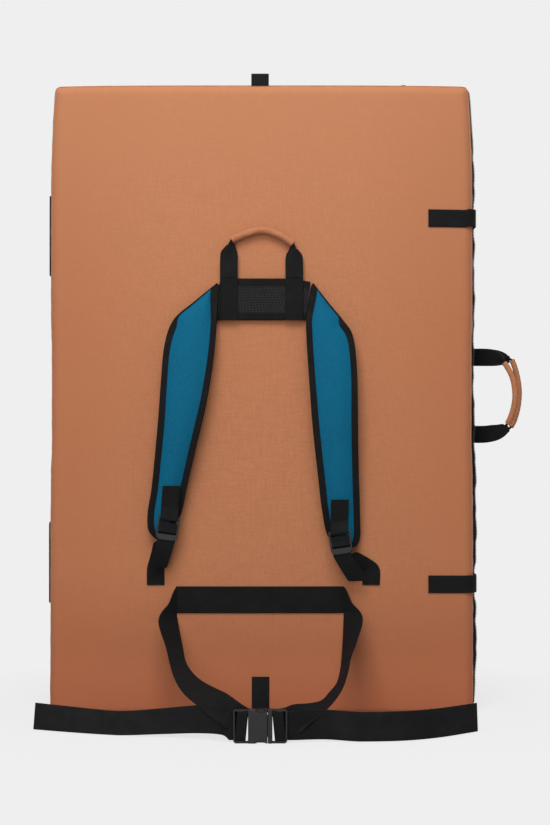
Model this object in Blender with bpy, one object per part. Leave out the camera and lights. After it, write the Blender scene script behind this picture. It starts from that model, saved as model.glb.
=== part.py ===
"""Bouldering crash pad that folds in two, standing closed on its lower edge.

Metres, +Z up. The origin is the middle of the harness half's bottom face. The harness half lies
from y = -45 mm (its outer face, with the carrying harness) to +45 mm (its landing side), and the
back half lies behind it, past the fold gap. The spine is at -X and the pad opens at +X.
"""
import math

import bmesh
import bpy
import numpy as np
from mathutils import Matrix, Vector

MM = 0.001

# Pad halves
PAD_WIDTH = 604 * MM
PAD_HEIGHT = 890 * MM
HALF_DEPTH = 90 * MM
FOLD_GAP = 3 * MM
EDGE_RADIUS = 13 * MM
CROWN = 5 * MM
SEAM_DRAW = 4 * MM
TOP_DRAW = 7 * MM
BOTTOM_DRAW = 2 * MM
TOP_SAG = 2 * MM
FACE_COLUMNS = 6
FACE_ROWS = 9
WALL_CELLS = 3
EDGE_STEPS = 2
CORE_EDGE_STEPS = 1

# Layers of a half
COVER_THICKNESS = 1.2 * MM
PANEL_THICKNESS = 1.5 * MM
SHEET_FOAM_THICKNESS = 13 * MM
CLEARANCE = 0.3 * MM
FOAM_CLEARANCE = 0.8 * MM

# Fold hinge and the hook-and-loop patches
HINGE_THICKNESS = 0.9 * MM
HINGE_FLANGE = 24 * MM
HINGE_LOOP = 5.5 * MM
HINGE_END = 25 * MM
HINGE_STAND_OFF = 5 * MM
SPINE_PATCH_LENGTH = 115 * MM
SPINE_PATCH_WIDTH = 50 * MM
SPINE_PATCH_THICKNESS = 2.3 * MM
SPINE_PATCH_HEIGHTS = (681.5 * MM, 211.5 * MM)
SOFT_PATCH_THICKNESS = 1.5 * MM
CLOSURE_PATCH_LENGTH = 40 * MM
CLOSURE_PATCH_SHIFT = 8 * MM

# Zips
ZIP_WIDTH = 14 * MM
ZIP_TAPE = 0.8 * MM
ZIP_COIL = 2.2 * MM
ZIP_COIL_WIDTH = 4.4 * MM
ZIP_FROM_MIDDLE = 22 * MM
ZIP_BOTTOM = 10 * MM
ZIP_TOP_END = 191 * MM
SLIDER_LENGTH = 12 * MM
SLIDER_HEIGHT = 3.6 * MM
SLIDER_WIDTH = 8.4 * MM
SLIDER_PULL = 20 * MM
SLIDER_PULL_WIDTH = 5 * MM
SLIDER_FROM_END = 6 * MM

# Webbing
WEBBING = 25 * MM
WAIST_WEBBING = 38 * MM
WEBBING_THICKNESS = 1.4 * MM
THIN_WEBBING = 1.2 * MM

# Closure straps
CLOSURE_HEIGHTS = (703 * MM, 182 * MM)
CLOSURE_START = 237 * MM
CLOSURE_HINGE = 262 * MM
CLOSURE_BEND = 14 * MM
CLOSURE_END = 121 * MM
CLOSURE_ROOT_GAP = 0.5 * MM

# Tabs in the seams
TOP_LOOP_X = -2.3 * MM
TOP_LOOP_RISE = 19 * MM
TOP_LOOP_SEAM = -38 * MM
TOP_LOOP_GAP = 1 * MM
BOTTOM_STRIP_X = -1.5 * MM
BOTTOM_STRIP_TOP = 51 * MM

# Handles
GRIP_WALL = 1.1 * MM
GRIP_SIDES = 10
GRIP_CORE = 5 * MM
GRIP_CORE_ROOM = 0.35 * MM
HANDLE_ROOT_GAP = 0.9 * MM
TOP_HANDLE_SPREAD = 92.8 * MM
TOP_HANDLE_REACH = 67 * MM
TOP_GRIP_RADIUS = 4.7 * MM
TOP_HANDLE_LEAN = math.radians(2.2)
SIDE_HANDLE_SPREAD = 113 * MM
SIDE_HANDLE_REACH = 84 * MM
SIDE_HANDLE_HEIGHT = 450.5 * MM
SIDE_GRIP_RADIUS = 4 * MM
SIDE_HANDLE_FROM_FOLD = 2.5 * MM
SIDE_HANDLE_LEANS = (math.radians(-27), math.radians(5))

# Yoke
YOKE_LEFT = -64.1 * MM
YOKE_RIGHT = 63 * MM
YOKE_BOTTOM = 558 * MM
YOKE_TOP = 615 * MM
YOKE_MESH = 4 * MM
BINDING_THICKNESS = 0.9 * MM
YOKE_BINDING_WIDTH = 9 * MM

# Shoulder straps
STRAP_REACH = 161 * MM
STRAP_BELOW_YOKE = 6 * MM
STRAP_DROP = 364 * MM
STRAP_THICKNESS = 9.6 * MM
STRAP_EDGE = 3.2 * MM
STRAP_CLOTH = 0.8 * MM
STRAP_BINDING_SHARE = 0.27
STRAP_END_SHARE = 0.95
STRAP_FADE_SHARE = 0.05
STRAP_TIP_THIN_SHARE = 0.35
STRAP_SEAT = 4.6 * MM
STRAP_BOTTOM_SEAT = 9.6 * MM
STRAP_ARCH = 17 * MM
STRAP_STEPS = 2
TAB_LENGTH = 42 * MM
TAB_ROOM = 0.5 * MM

# Ladder locks, placed by their x and how far their middle is below the straps' top
LOCK_WIDTH = 30.6 * MM
LOCK_HEIGHT = 32.8 * MM
LOCK_DEPTH = 4 * MM
LOCK_RAIL = 2.3 * MM
LOCK_TOP_BAR = 3.2 * MM
LOCK_BAR = 2.6 * MM
LOCK_LIP = 8.4 * MM
LOCK_LIP_DEPTH = 1.8 * MM
LOCK_LIP_CORNER = 7 * MM
LOCK_SLOT = 3.3 * MM
LOCK_STAND_OFF = 26 * MM
LOCK_TURN = math.radians(8)
LOCK_LEFT = (-131.8 * MM, 346 * MM)
LOCK_RIGHT = (111.2 * MM, 365.5 * MM)
LOCK_CORNER = 1 * MM
LOCK_BEVEL = 0.5 * MM

# Adjuster webbing, sewn to the cover below the straps
ADJUSTER_END = 183 * MM
ADJUSTER_SEWN = 20 * MM
ADJUSTER_LEFT_X = -150.5 * MM
ADJUSTER_RIGHT_X = 155.5 * MM
TAIL_LEFT = (-142 * MM, 208 * MM)
TAIL_RIGHT = (139 * MM, 188 * MM)
TAIL_STAND_OFF = 15 * MM

# Waist belt
BAND_LEFT = -119 * MM
BAND_RIGHT = 116 * MM
BAND_HEIGHT = 160 * MM
BELT_REACH = 228 * MM
BELT_LEFT_END = -305 * MM
BELT_RIGHT_END = 289 * MM
TAIL_LEAN = math.radians(25)

# Waist buckle, standing on its long edge
BUCKLE_X = 0 * MM
BUCKLE_HEIGHT = 44 * MM
BUCKLE_BODY_DEPTH = 10 * MM
BUCKLE_FRAME_DEPTH = 5 * MM
BUCKLE_RAIL = 2.5 * MM
BUCKLE_WALL = 2 * MM
BUCKLE_OUTER_BAR = 1.9 * MM
BUCKLE_SLOT = 3.3 * MM
BUCKLE_INNER_BAR = 8.4 * MM
BUCKLE_BODY_SLOT = 5.4 * MM
SOCKET_LENGTH = 25 * MM
PLUG_FLANGE = 6 * MM
PLUG_GAP = 0.4 * MM
BUCKLE_WINDOW = 11 * MM
BUCKLE_WINDOW_FROM_MOUTH = 3 * MM
BUCKLE_NOTCH_RADIUS = 8 * MM
BUCKLE_NOTCH_DEPTH = 5 * MM
GUIDE_WIDTH = 10 * MM
GUIDE_LENGTH = 17 * MM
GUIDE_DEPTH = 4 * MM
PRONG_DEPTH = 5 * MM
PRONG_ARM = 3.4 * MM
PRONG_LENGTH = 18 * MM
PRONG_HEAD = 3.4 * MM
PRONG_SEAT = 0.8 * MM
BUCKLE_BEVEL = 1 * MM
OVERRUN = 3 * MM

# Worked out
HALF_WIDTH = PAD_WIDTH / 2
FACE_Y = -HALF_DEPTH / 2
LANDING_Y = HALF_DEPTH / 2
FOLD_Y = LANDING_Y + FOLD_GAP / 2
FOLD_X = -HALF_WIDTH - HINGE_STAND_OFF
PANEL_INNER = LANDING_Y - PANEL_THICKNESS
COVER_RIM = PANEL_INNER - CLEARANCE
CORE_INSET = COVER_THICKNESS + FOAM_CLEARANCE
SHEET_INNER = PANEL_INNER - CLEARANCE - SHEET_FOAM_THICKNESS
BINDING_STACK = YOKE_MESH + 2 * (BINDING_THICKNESS + CLEARANCE)
HANDLE_OFF = CLEARANCE + BINDING_STACK + CLEARANCE + WEBBING_THICKNESS / 2
YOKE_LIP = CLEARANCE + BINDING_THICKNESS
STRAP_TOP = YOKE_TOP - STRAP_BELOW_YOKE
HANDLE_ROOT_Z = YOKE_TOP + YOKE_LIP + HANDLE_ROOT_GAP
CLOSURE_WALL = HALF_WIDTH - SEAM_DRAW * (2 * ZIP_FROM_MIDDLE / HALF_DEPTH) ** 2 + ZIP_COIL + 2 * CLEARANCE
BUCKLE_Y = FACE_Y - BELT_REACH
BUCKLE_Z = CLEARANCE + BUCKLE_HEIGHT / 2
FRAME_LENGTH = BUCKLE_OUTER_BAR + BUCKLE_SLOT + BUCKLE_INNER_BAR + BUCKLE_BODY_SLOT
BUCKLE_LENGTH = 2 * FRAME_LENGTH + SOCKET_LENGTH + PLUG_GAP + PLUG_FLANGE
SOCKET_LEFT = BUCKLE_X - BUCKLE_LENGTH / 2 + FRAME_LENGTH
SOCKET_MOUTH = SOCKET_LEFT + SOCKET_LENGTH
PLUG_LEFT = SOCKET_MOUTH + PLUG_GAP
PLUG_RIGHT = PLUG_LEFT + PLUG_FLANGE

# Handle outlines from the middle of one leg's root to the middle of the grip: the reach, the
# distance from the middle of the handle and the width of the webbing
TOP_HANDLE_SHARES = [(0, 1, 1), (0.30, 1, 1), (0.52, 0.98, 0.96), (0.69, 0.94, 0.68),
                     (0.81, 0.84, 0.2), (0.94, 0.47, 0.2), (1, 0, 0.2)]
SIDE_HANDLE_SHARES = [(0, 1, 1), (0.36, 1, 1), (0.58, 0.97, 0.92), (0.71, 0.89, 0.6),
                      (0.80, 0.76, 0.2), (0.94, 0.42, 0.2), (1, 0, 0.2)]
LEG_ROWS = 4

# Strap outlines, top to bottom: outer edge x, outer edge drop, inner edge x, inner edge drop
LEFT_STRAP_SHARES = [
    (-0.401, 0.003, -0.401, 0.205), (-0.590, 0.067, -0.425, 0.270), (-0.765, 0.143, -0.442, 0.330),
    (-0.845, 0.240, -0.465, 0.395), (-0.880, 0.390, -0.495, 0.465), (-0.905, 0.530, -0.545, 0.560),
    (-0.935, 0.670, -0.605, 0.670), (-0.966, 0.797, -0.665, 0.785), (-1.000, 0.890, -0.720, 0.895),
    (-0.995, 0.955, -0.800, 0.950), (-0.948, 0.985, -0.895, 1.000)]
RIGHT_STRAP_SHARES = [
    (0.425, 0.003, 0.397, 0.190), (0.580, 0.070, 0.397, 0.240), (0.710, 0.143, 0.405, 0.300),
    (0.810, 0.210, 0.420, 0.357), (0.845, 0.350, 0.438, 0.440), (0.851, 0.533, 0.455, 0.533),
    (0.854, 0.643, 0.483, 0.655), (0.862, 0.780, 0.514, 0.775), (0.869, 0.900, 0.542, 0.880),
    (0.869, 0.985, 0.596, 0.985), (0.833, 1.020, 0.737, 1.036)]

# Belt loops from the band to the buckle: place across the half width, place out from the face as
# a share of the belt's reach, height as a share of the band's, direction from the inner to the
# outer edge, and width of webbing that shows
LEFT_LOOP_SHARES = [
    (-0.400, 0.0045, 1.000, 0.0, 0.0, 1.0, 1.00), (-0.424, 0.0115, 0.930, -0.5, -0.1, 0.85, 0.62),
    (-0.437, 0.066, 0.797, -0.7, -0.66, 0.2, 0.98), (-0.412, 0.217, 0.665, -0.62, -0.76, 0.1, 1.0),
    (-0.377, 0.318, 0.525, -0.55, -0.82, 0.08, 1.0), (-0.328, 0.469, 0.388, -0.76, -0.62, 0.05, 1.0),
    (-0.268, 0.640, 0.310, -0.85, -0.38, -0.30, 1.0), (-0.236, 0.800, 0.235, -0.62, -0.22, -0.75, 1.0),
    (-0.205, 0.920, 0.165, -0.2, -0.08, -0.97, 1.0)]
RIGHT_LOOP_SHARES = [
    (0.387, 0.0045, 1.000, 0.0, 0.0, 1.0, 1.00), (0.409, 0.0115, 0.930, 0.5, -0.1, 0.85, 0.62),
    (0.429, 0.066, 0.819, 0.66, -0.68, 0.3, 0.98), (0.407, 0.197, 0.681, 0.45, -0.88, 0.1, 1.0),
    (0.387, 0.320, 0.531, 0.27, -0.95, 0.12, 1.0), (0.368, 0.465, 0.406, 0.19, -0.97, 0.12, 1.0),
    (0.311, 0.645, 0.281, 0.25, -0.96, 0.05, 1.0), (0.250, 0.815, 0.215, 0.55, -0.65, -0.50, 1.0),
    (0.210, 0.925, 0.165, 0.2, -0.2, -0.96, 1.0)]
LEFT_TAIL_SHARES = [(0.27, 0.846), (0.43, 0.776), (0.62, 0.745), (0.82, 0.680), (1.0, 0.596)]
RIGHT_TAIL_SHARES = [(0.29, 0.934), (0.45, 0.952), (0.64, 0.934), (0.81, 0.855), (1.0, 0.662)]

BOTTOM_STRIP_TURN_SHARES = (0.25, 0.5, 0.62)
ADJUSTER_LIFT_SHARES = ((0.25, 0.12), (0.6, 0.5), (0.88, 0.86))
ADJUSTER_TURN_SHARES = (0.7, 1.0, 0.5)
ADJUSTER_TAIL_SHARES = (0.35, 0.7, 1.0)

ORIGINS = {}


def srgb(red, green, blue):
    """Linear colour of an 8-bit screen colour."""
    def linear(c):
        c = c / 255
        return c / 12.92 if c <= 0.04045 else ((c + 0.055) / 1.055) ** 2.4
    return linear(red), linear(green), linear(blue), 1.0


def finish(name, colour, roughness, metallic=0.0):
    mat = bpy.data.materials.new(name)
    mat.use_nodes = True
    shader = mat.node_tree.nodes["Principled BSDF"]
    shader.inputs["Base Color"].default_value = srgb(*colour)
    shader.inputs["Roughness"].default_value = roughness
    shader.inputs["Metallic"].default_value = metallic
    mat.diffuse_color = srgb(*colour)
    return mat


def pivot(name, at, parent=None):
    """An empty on a joint's axis, which carries the pieces that turn or slide with it."""
    empty = bpy.data.objects.new(name, None)
    bpy.context.collection.objects.link(empty)
    empty.parent = parent
    empty.location = at - (ORIGINS[parent.name] if parent else Vector())
    ORIGINS[name] = at
    return empty


def piece(name, bm, mat, carrier=None, smooth=None):
    """One solid, made in world places and hung on its carrier."""
    bmesh.ops.recalc_face_normals(bm, faces=bm.faces)
    at = ORIGINS[carrier.name] if carrier else Vector()
    bmesh.ops.translate(bm, vec=-at, verts=bm.verts)
    mesh = bpy.data.meshes.new(name)
    bm.to_mesh(mesh)
    bm.free()
    mesh.materials.append(mat)
    if smooth is not None:
        mesh.shade_smooth()
        mesh.set_sharp_from_angle(angle=math.radians(smooth))
    obj = bpy.data.objects.new(name, mesh)
    bpy.context.collection.objects.link(obj)
    obj.parent = carrier
    return obj


def through(rows, steps):
    """Rows of numbers on a smooth curve through the given rows, with so many steps to a span."""
    rows = [np.array(row, float) for row in rows]
    line = [2 * rows[0] - rows[1]] + rows + [2 * rows[-1] - rows[-2]]
    out = []
    for a, b, c, d in zip(line, line[1:], line[2:], line[3:]):
        for k in range(steps):
            t = k / steps
            bend = (2 * a - 5 * b + 4 * c - d) * t * t + (3 * b - a - 3 * c + d) * t ** 3
            out.append(b + 0.5 * ((c - a) * t + bend))
    return out + [rows[-1]]


def loft(rings, closed=False):
    """Skin over rings of points. Open lofts are capped, closed ones run back to their start."""
    bm = bmesh.new()
    loops = [[bm.verts.new(p) for p in ring] for ring in rings]
    pairs = list(zip(loops, loops[1:]))
    if closed:
        pairs.append((loops[-1], loops[0]))
    else:
        bm.faces.new(loops[0])
        bm.faces.new(loops[-1])
    for one, two in pairs:
        for j in range(len(one)):
            k = (j + 1) % len(one)
            bm.faces.new((one[j], one[k], two[k], two[j]))
    return bm


def split(bm):
    """Cuts four-sided faces along the diagonal that is shorter as seen from the front."""
    def seen(one, two):
        return math.hypot(one.co.x - two.co.x, one.co.z - two.co.z)

    for face in list(bm.faces):
        if len(face.verts) == 4:
            a, b, c, d = face.verts
            pair = (a, c) if seen(a, c) < seen(b, d) else (b, d)
            bmesh.utils.face_split(face, *pair)
    return bm


def tangents(points):
    """Unit direction of travel at each point."""
    ahead = points[1:] + [points[-1]]
    behind = [points[0]] + points[:-1]
    return [(b - a).normalized() for a, b in zip(behind, ahead)]


def ribbon(centres, acrosses, widths, thickness):
    """Flat webbing along centre points, as wide as given along the across directions."""
    rings = []
    for c, a, w, d in zip(centres, acrosses, widths, tangents(centres)):
        side = a.normalized() * w / 2
        up = d.cross(a).normalized() * thickness / 2
        rings.append([c + side + up, c - side + up, c - side - up, c + side - up])
    bm = loft(rings)
    bmesh.ops.triangulate(bm, faces=bm.faces, quad_method="SHORT_EDGE")
    return bm


def sleeve(centres, normal, outer, inner):
    """A round sleeve with an open bore, along a path that lies in one plane."""
    turns = [math.tau * k / GRIP_SIDES for k in range(GRIP_SIDES)]
    rings = {outer: [], inner: []}
    for c, d in zip(centres, tangents(centres)):
        side = normal.cross(d).normalized()
        for radius, found in rings.items():
            found.append([c + (side * math.cos(t) + normal * math.sin(t)) * radius for t in turns])
    return loft(rings[outer] + rings[inner][::-1], closed=True)


def solid_box(low, high):
    """A block between two corners."""
    bm = bmesh.new()
    bmesh.ops.create_cube(bm, size=1)
    size = Vector(high) - Vector(low)
    bmesh.ops.scale(bm, vec=size, verts=bm.verts)
    bmesh.ops.translate(bm, vec=(Vector(high) + Vector(low)) / 2, verts=bm.verts)
    return bm


def prism(outline, depth_low, depth_high, to_world):
    """A flat outline pushed through a depth; to_world places (across, up, depth)."""
    rings = [[to_world(u, v, w) for u, v in outline] for w in (depth_low, depth_high)]
    return loft(rings)


def cut_out(obj, name, bm):
    """Takes one solid out of another and keeps the cutter as a hidden guide."""
    cutter = piece(name, bm, obj.data.materials[0], obj.parent)
    cutter.hide_render = True
    cutter.display_type = "WIRE"
    cut = obj.modifiers.new(name, "BOOLEAN")
    cut.operation = "DIFFERENCE"
    cut.object = cutter


def round_edges(obj, width, segments=1, angle=40):
    edge = obj.modifiers.new("edges", "BEVEL")
    edge.width = width
    edge.segments = segments
    edge.limit_method = "ANGLE"
    edge.angle_limit = math.radians(angle)


def soft(p):
    """Place on the filled pad of a point given on the plain block: crown, drawn-in seams, taper."""
    rise = max(-1, min(1, 2 * p[2] / PAD_HEIGHT - 1))
    deep = max(-1, min(1, p[1] / LANDING_Y))
    seam = SEAM_DRAW * deep * deep
    taper = (TOP_DRAW if rise > 0 else BOTTOM_DRAW) * rise ** 4
    x = p[0] * (1 - (taper + seam) / HALF_WIDTH)
    aside = min(1, abs(p[0]) / HALF_WIDTH)
    sag = CROWN * (1 - (1 - aside ** 2) * (1 - rise ** 2))
    y = p[1] + sag * ((1 - deep) / 2) ** 2
    z = p[2] * (1 - (TOP_SAG * aside ** 4 + seam) / PAD_HEIGHT)
    return Vector((x, y, z))


def on_face(x, z, off):
    """Place at x and z, so far in front of the crowned outer face."""
    high = z / (1 - SEAM_DRAW / PAD_HEIGHT)
    rise = 2 * high / PAD_HEIGHT - 1
    taper = (TOP_DRAW if rise > 0 else BOTTOM_DRAW) * rise ** 4
    aside = x / (1 - (taper + SEAM_DRAW) / HALF_WIDTH)
    return soft((aside, FACE_Y - off, high))


def behind_fold(p):
    """The same place on the back half, which mirrors the harness half."""
    return Vector((p.x, 2 * FOLD_Y - p.y, p.z))


def stay(p):
    return p


def grid_lines(low, high, cells, steps):
    """Lines across one side of the block, closer together where the edge is rounded."""
    near = [EDGE_RADIUS * (1 - math.tan(math.pi / 4 * (1 - k / steps))) for k in range(steps)]
    flat_low, flat_high = low + EDGE_RADIUS, high - EDGE_RADIUS
    even = [flat_low + (flat_high - flat_low) * k / cells for k in range(cells + 1)]
    return [low + n for n in near] + even + [high - n for n in near[::-1]]


def wall_lines(low, high, steps):
    """Lines from the rounded outer face to the square landing side."""
    near = [EDGE_RADIUS * (1 - math.tan(math.pi / 4 * (1 - k / steps))) for k in range(steps)]
    start = low + EDGE_RADIUS
    return [low + n for n in near] + [start + (high - start) * k / WALL_CELLS for k in range(WALL_CELLS + 1)]


def rounded(p, low, high):
    """Rounds the block's edges, but not those of its landing side."""
    top = (high[0] - EDGE_RADIUS, high[1], high[2] - EDGE_RADIUS)
    core = Vector([min(max(p[i], low[i] + EDGE_RADIUS), top[i]) for i in range(3)])
    away = Vector(p) - core
    return core + away.normalized() * EDGE_RADIUS if away.length > 0 else core


def pad_surface(inset, back_y, steps, place, closed):
    """Skin of one half at an inset from its outer faces, from the outer face to a plane."""
    low = (inset - HALF_WIDTH, FACE_Y + inset, inset)
    high = (HALF_WIDTH - inset, back_y, PAD_HEIGHT - inset)
    lines = (grid_lines(low[0], high[0], FACE_COLUMNS, steps), wall_lines(low[1], back_y, steps),
             grid_lines(low[2], high[2], FACE_ROWS, steps))
    bm = bmesh.new()
    verts = {}

    def vert(key):
        if key not in verts:
            p = [lines[i][key[i]] for i in range(3)]
            verts[key] = bm.verts.new(place(soft(rounded(p, low, high))))
        return verts[key]

    for axis in range(3):
        one, two = [i for i in range(3) if i != axis]
        for end in (0, len(lines[axis]) - 1):
            if axis == 1 and end and not closed:
                continue
            for i in range(len(lines[one]) - 1):
                for j in range(len(lines[two]) - 1):
                    corners = []
                    for di, dj in ((0, 0), (1, 0), (1, 1), (0, 1)):
                        key = [0, 0, 0]
                        key[axis], key[one], key[two] = end, i + di, j + dj
                        corners.append(vert(tuple(key)))
                    bm.faces.new(corners)
    return bm


def pad_ring(inset, y, place):
    """Outline of the half at one depth, as a ring of points."""
    low, high = (inset - HALF_WIDTH, 2 * FACE_Y, inset), (HALF_WIDTH - inset, 2 * LANDING_Y, PAD_HEIGHT - inset)
    xs = grid_lines(low[0], high[0], FACE_COLUMNS, EDGE_STEPS)
    zs = grid_lines(low[2], high[2], FACE_ROWS, EDGE_STEPS)
    path = [(x, low[2]) for x in xs[:-1]] + [(high[0], z) for z in zs[:-1]]
    path += [(x, high[2]) for x in xs[:0:-1]] + [(low[0], z) for z in zs[:0:-1]]
    return [place(soft(rounded((x, y, z), low, high))) for x, z in path]


def face_strip(rows, width, low, high, place=stay):
    """A strip sewn on the outer face: rows are (x, z), low and high its offsets from the face."""
    flat = [Vector((x, 0, z)) for x, z in rows]
    rings = []
    for c, d in zip(flat, tangents(flat)):
        side = Vector((-d.z, 0, d.x)) * width / 2
        corners = [(c + side, low), (c - side, low), (c - side, high), (c + side, high)]
        rings.append([place(on_face(p.x, p.z, off)) for p, off in corners])
    return loft(rings)


def even_line(start, end, cells):
    return [(start[0] + (end[0] - start[0]) * k / cells, start[1] + (end[1] - start[1]) * k / cells)
            for k in range(cells + 1)]


def wall_patch(side, y_middle, length_y, z_middle, length_z, thickness, place):
    """A flat patch on a side wall, following the wall's bulge."""
    ys = [y_middle + length_y * (k / WALL_CELLS - 0.5) for k in range(WALL_CELLS + 1)]
    zs = [z_middle + length_z * (k / WALL_CELLS - 0.5) for k in range(WALL_CELLS + 1)]
    rings = []
    for z in zs:
        under = [(y, CLEARANCE) for y in ys]
        over = [(y, CLEARANCE + thickness) for y in ys[::-1]]
        rings.append([place(soft((side * (HALF_WIDTH + off), y, z))) for y, off in under + over])
    return loft(rings)


def make_half(prefix, mats, place, carrier):
    """Cover, landing panel and the two foams of one half."""
    cover = piece(prefix + "_cover", pad_surface(0, COVER_RIM, EDGE_STEPS, place, False), mats["canvas"],
                  carrier, 35)
    shell = cover.modifiers.new("cloth", "SOLIDIFY")
    shell.thickness = COVER_THICKNESS
    shell.offset = -1
    shell.use_even_offset = True
    panel = loft([pad_ring(0, y, place) for y in (PANEL_INNER, LANDING_Y)])
    piece(prefix + "_landing_panel", panel, mats["landing"], carrier)
    core = pad_surface(CORE_INSET, SHEET_INNER - CLEARANCE, CORE_EDGE_STEPS, place, True)
    piece(prefix + "_foam_core", core, mats["foam"], carrier)
    sheet = loft([pad_ring(CORE_INSET, y, place) for y in (SHEET_INNER, PANEL_INNER - CLEARANCE)])
    piece(prefix + "_foam_sheet", sheet, mats["firm_foam"], carrier)


def zip_stations():
    """Points and outward directions along the zip: up the opening wall and along the top."""
    corner = Vector((HALF_WIDTH - EDGE_RADIUS, 0, PAD_HEIGHT - EDGE_RADIUS))
    right, up = Vector((1, 0, 0)), Vector((0, 0, 1))
    rise = [(Vector((HALF_WIDTH, 0, z)), right) for _, z in
            even_line((0, ZIP_BOTTOM), (0, corner.z), 2 * FACE_ROWS)]
    bend = []
    for k in range(1, 2 * EDGE_STEPS):
        turn = math.pi / 2 * k / (2 * EDGE_STEPS)
        out = right * math.cos(turn) + up * math.sin(turn)
        bend.append((corner + out * EDGE_RADIUS, out))
    run = [(Vector((x, 0, PAD_HEIGHT)), up) for x, _ in
           even_line((corner.x, 0), (ZIP_TOP_END, 0), FACE_COLUMNS)]
    return rise + bend + run


def make_zip(prefix, mats, place, carrier, joint_parent):
    """Zip tape with its raised coil, and the slider at the top end of its run."""
    half, coil = ZIP_WIDTH / 2, ZIP_COIL_WIDTH / 2
    section = [(-half, 0), (-half, ZIP_TAPE), (-coil, ZIP_TAPE), (-coil / 2, ZIP_COIL), (coil / 2, ZIP_COIL),
               (coil, ZIP_TAPE), (half, ZIP_TAPE), (half, 0)]
    rings = []
    for p, out in zip_stations():
        rings.append([place(soft(p + out * (CLEARANCE + h) + Vector((0, y - ZIP_FROM_MIDDLE, 0))))
                      for y, h in section])
    piece(prefix + "_zip", loft(rings), mats["webbing"], carrier)
    middle = ZIP_TOP_END + SLIDER_LENGTH / 2 + SLIDER_FROM_END
    seat = soft((ZIP_TOP_END, -ZIP_FROM_MIDDLE, PAD_HEIGHT + CLEARANCE + ZIP_COIL))
    at = place(Vector((middle, seat.y, seat.z + CLEARANCE)))
    axis = pivot(prefix + "_zip_run", at, joint_parent)
    body, pull = SLIDER_WIDTH / 2, SLIDER_PULL_WIDTH / 2
    nose, rim = SLIDER_LENGTH / 2, SLIDER_HEIGHT / 3
    stations = [(-nose - SLIDER_PULL, pull, 0, rim), (-nose - rim, pull, 0, rim), (-nose, body * 0.75, 0, 2 * rim),
                (0, body, 0, SLIDER_HEIGHT), (nose, body * 0.7, 0, 2 * rim)]
    rings = [[at + Vector((u, s * w, h)) for s, h in ((-1, low), (1, low), (1, high), (-1, high))]
             for u, w, low, high in stations]
    piece(prefix + "_zip_slider", loft(rings), mats["metal"], axis)


def make_hinge(mats):
    """Cloth strip sewn to both landing panels, folded out round the fold."""
    half = HINGE_THICKNESS / 2
    inner, outer = FOLD_GAP / 2 - CLEARANCE - HINGE_THICKNESS, FOLD_GAP / 2 - CLEARANCE
    seam = SEAM_DRAW + CLEARANCE - HALF_WIDTH
    tip = seam - HINGE_LOOP
    outline = [(seam + HINGE_FLANGE, outer), (seam, outer)]
    for k in range(5):
        turn = math.pi / 2 + math.pi * k / 4
        outline.append((tip + outer * math.cos(turn), outer * math.sin(turn)))
    outline += [(seam, -outer), (seam + HINGE_FLANGE, -outer), (seam + HINGE_FLANGE, -inner), (seam, -inner)]
    for k in range(5):
        turn = -math.pi / 2 - math.pi * k / 4
        outline.append((tip + half + inner * math.cos(turn), inner * math.sin(turn)))
    outline += [(seam, inner), (seam + HINGE_FLANGE, inner)]
    bm = prism(outline, HINGE_END, PAD_HEIGHT - HINGE_END, lambda x, y, z: Vector((x, FOLD_Y + y, z)))
    piece("fold_hinge_strip", bm, mats["webbing"])


def closure_path(height):
    """Middle line of a closure strap, from its sewn edge round the opening side."""
    off = CLEARANCE + WEBBING_THICKNESS / 2
    start = CLOSURE_HINGE + CLOSURE_ROOT_GAP
    wall = CLOSURE_WALL + WEBBING_THICKNESS / 2
    bend_x = wall - CLOSURE_BEND
    flat = [on_face(x, height, off) for x in (start, (start + bend_x) / 2)]
    edge_y = on_face(bend_x, height, off).y
    centre = Vector((bend_x, edge_y + CLOSURE_BEND, height))
    for k in range(5):
        turn = math.pi / 2 * (k / 4 - 1)
        flat.append(centre + Vector((math.cos(turn), math.sin(turn), 0)) * CLOSURE_BEND)
    run = CLOSURE_END - centre.y
    return flat + [Vector((wall, centre.y + run * k / WALL_CELLS, height)) for k in range(1, WALL_CELLS + 1)]


def make_closures(mats, back):
    """Sewn ends, free straps and the loop patches that they stick to."""
    for name, height in zip(("upper", "lower"), CLOSURE_HEIGHTS):
        rows = even_line((CLOSURE_START, height), (CLOSURE_HINGE - CLOSURE_ROOT_GAP, height), 2)
        anchor = face_strip(rows, WEBBING, CLEARANCE, CLEARANCE + WEBBING_THICKNESS)
        piece("closure_anchor_" + name, anchor, mats["webbing"])
        path = closure_path(height)
        axis = pivot("closure_axis_" + name, path[0] - Vector((0, WEBBING_THICKNESS / 2, 0)))
        up = [Vector((0, 0, 1))] * len(path)
        strap = ribbon(path, up, [WEBBING] * len(path), WEBBING_THICKNESS)
        piece("closure_strap_" + name, strap, mats["webbing"], axis, 35)
        patch = wall_patch(1, CLOSURE_PATCH_SHIFT, CLOSURE_PATCH_LENGTH, height, WEBBING,
                           SOFT_PATCH_THICKNESS, behind_fold)
        piece("back_closure_patch_" + name, patch, mats["webbing"], back)


def make_spine_patches(mats, back):
    for name, height in zip(("upper", "lower"), SPINE_PATCH_HEIGHTS):
        for prefix, place, carrier in (("harness", stay, None), ("back", behind_fold, back)):
            patch = wall_patch(-1, 0, SPINE_PATCH_WIDTH, height, SPINE_PATCH_LENGTH, SPINE_PATCH_THICKNESS, place)
            piece(prefix + "_spine_patch_" + name, patch, mats["webbing"], carrier)


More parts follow.
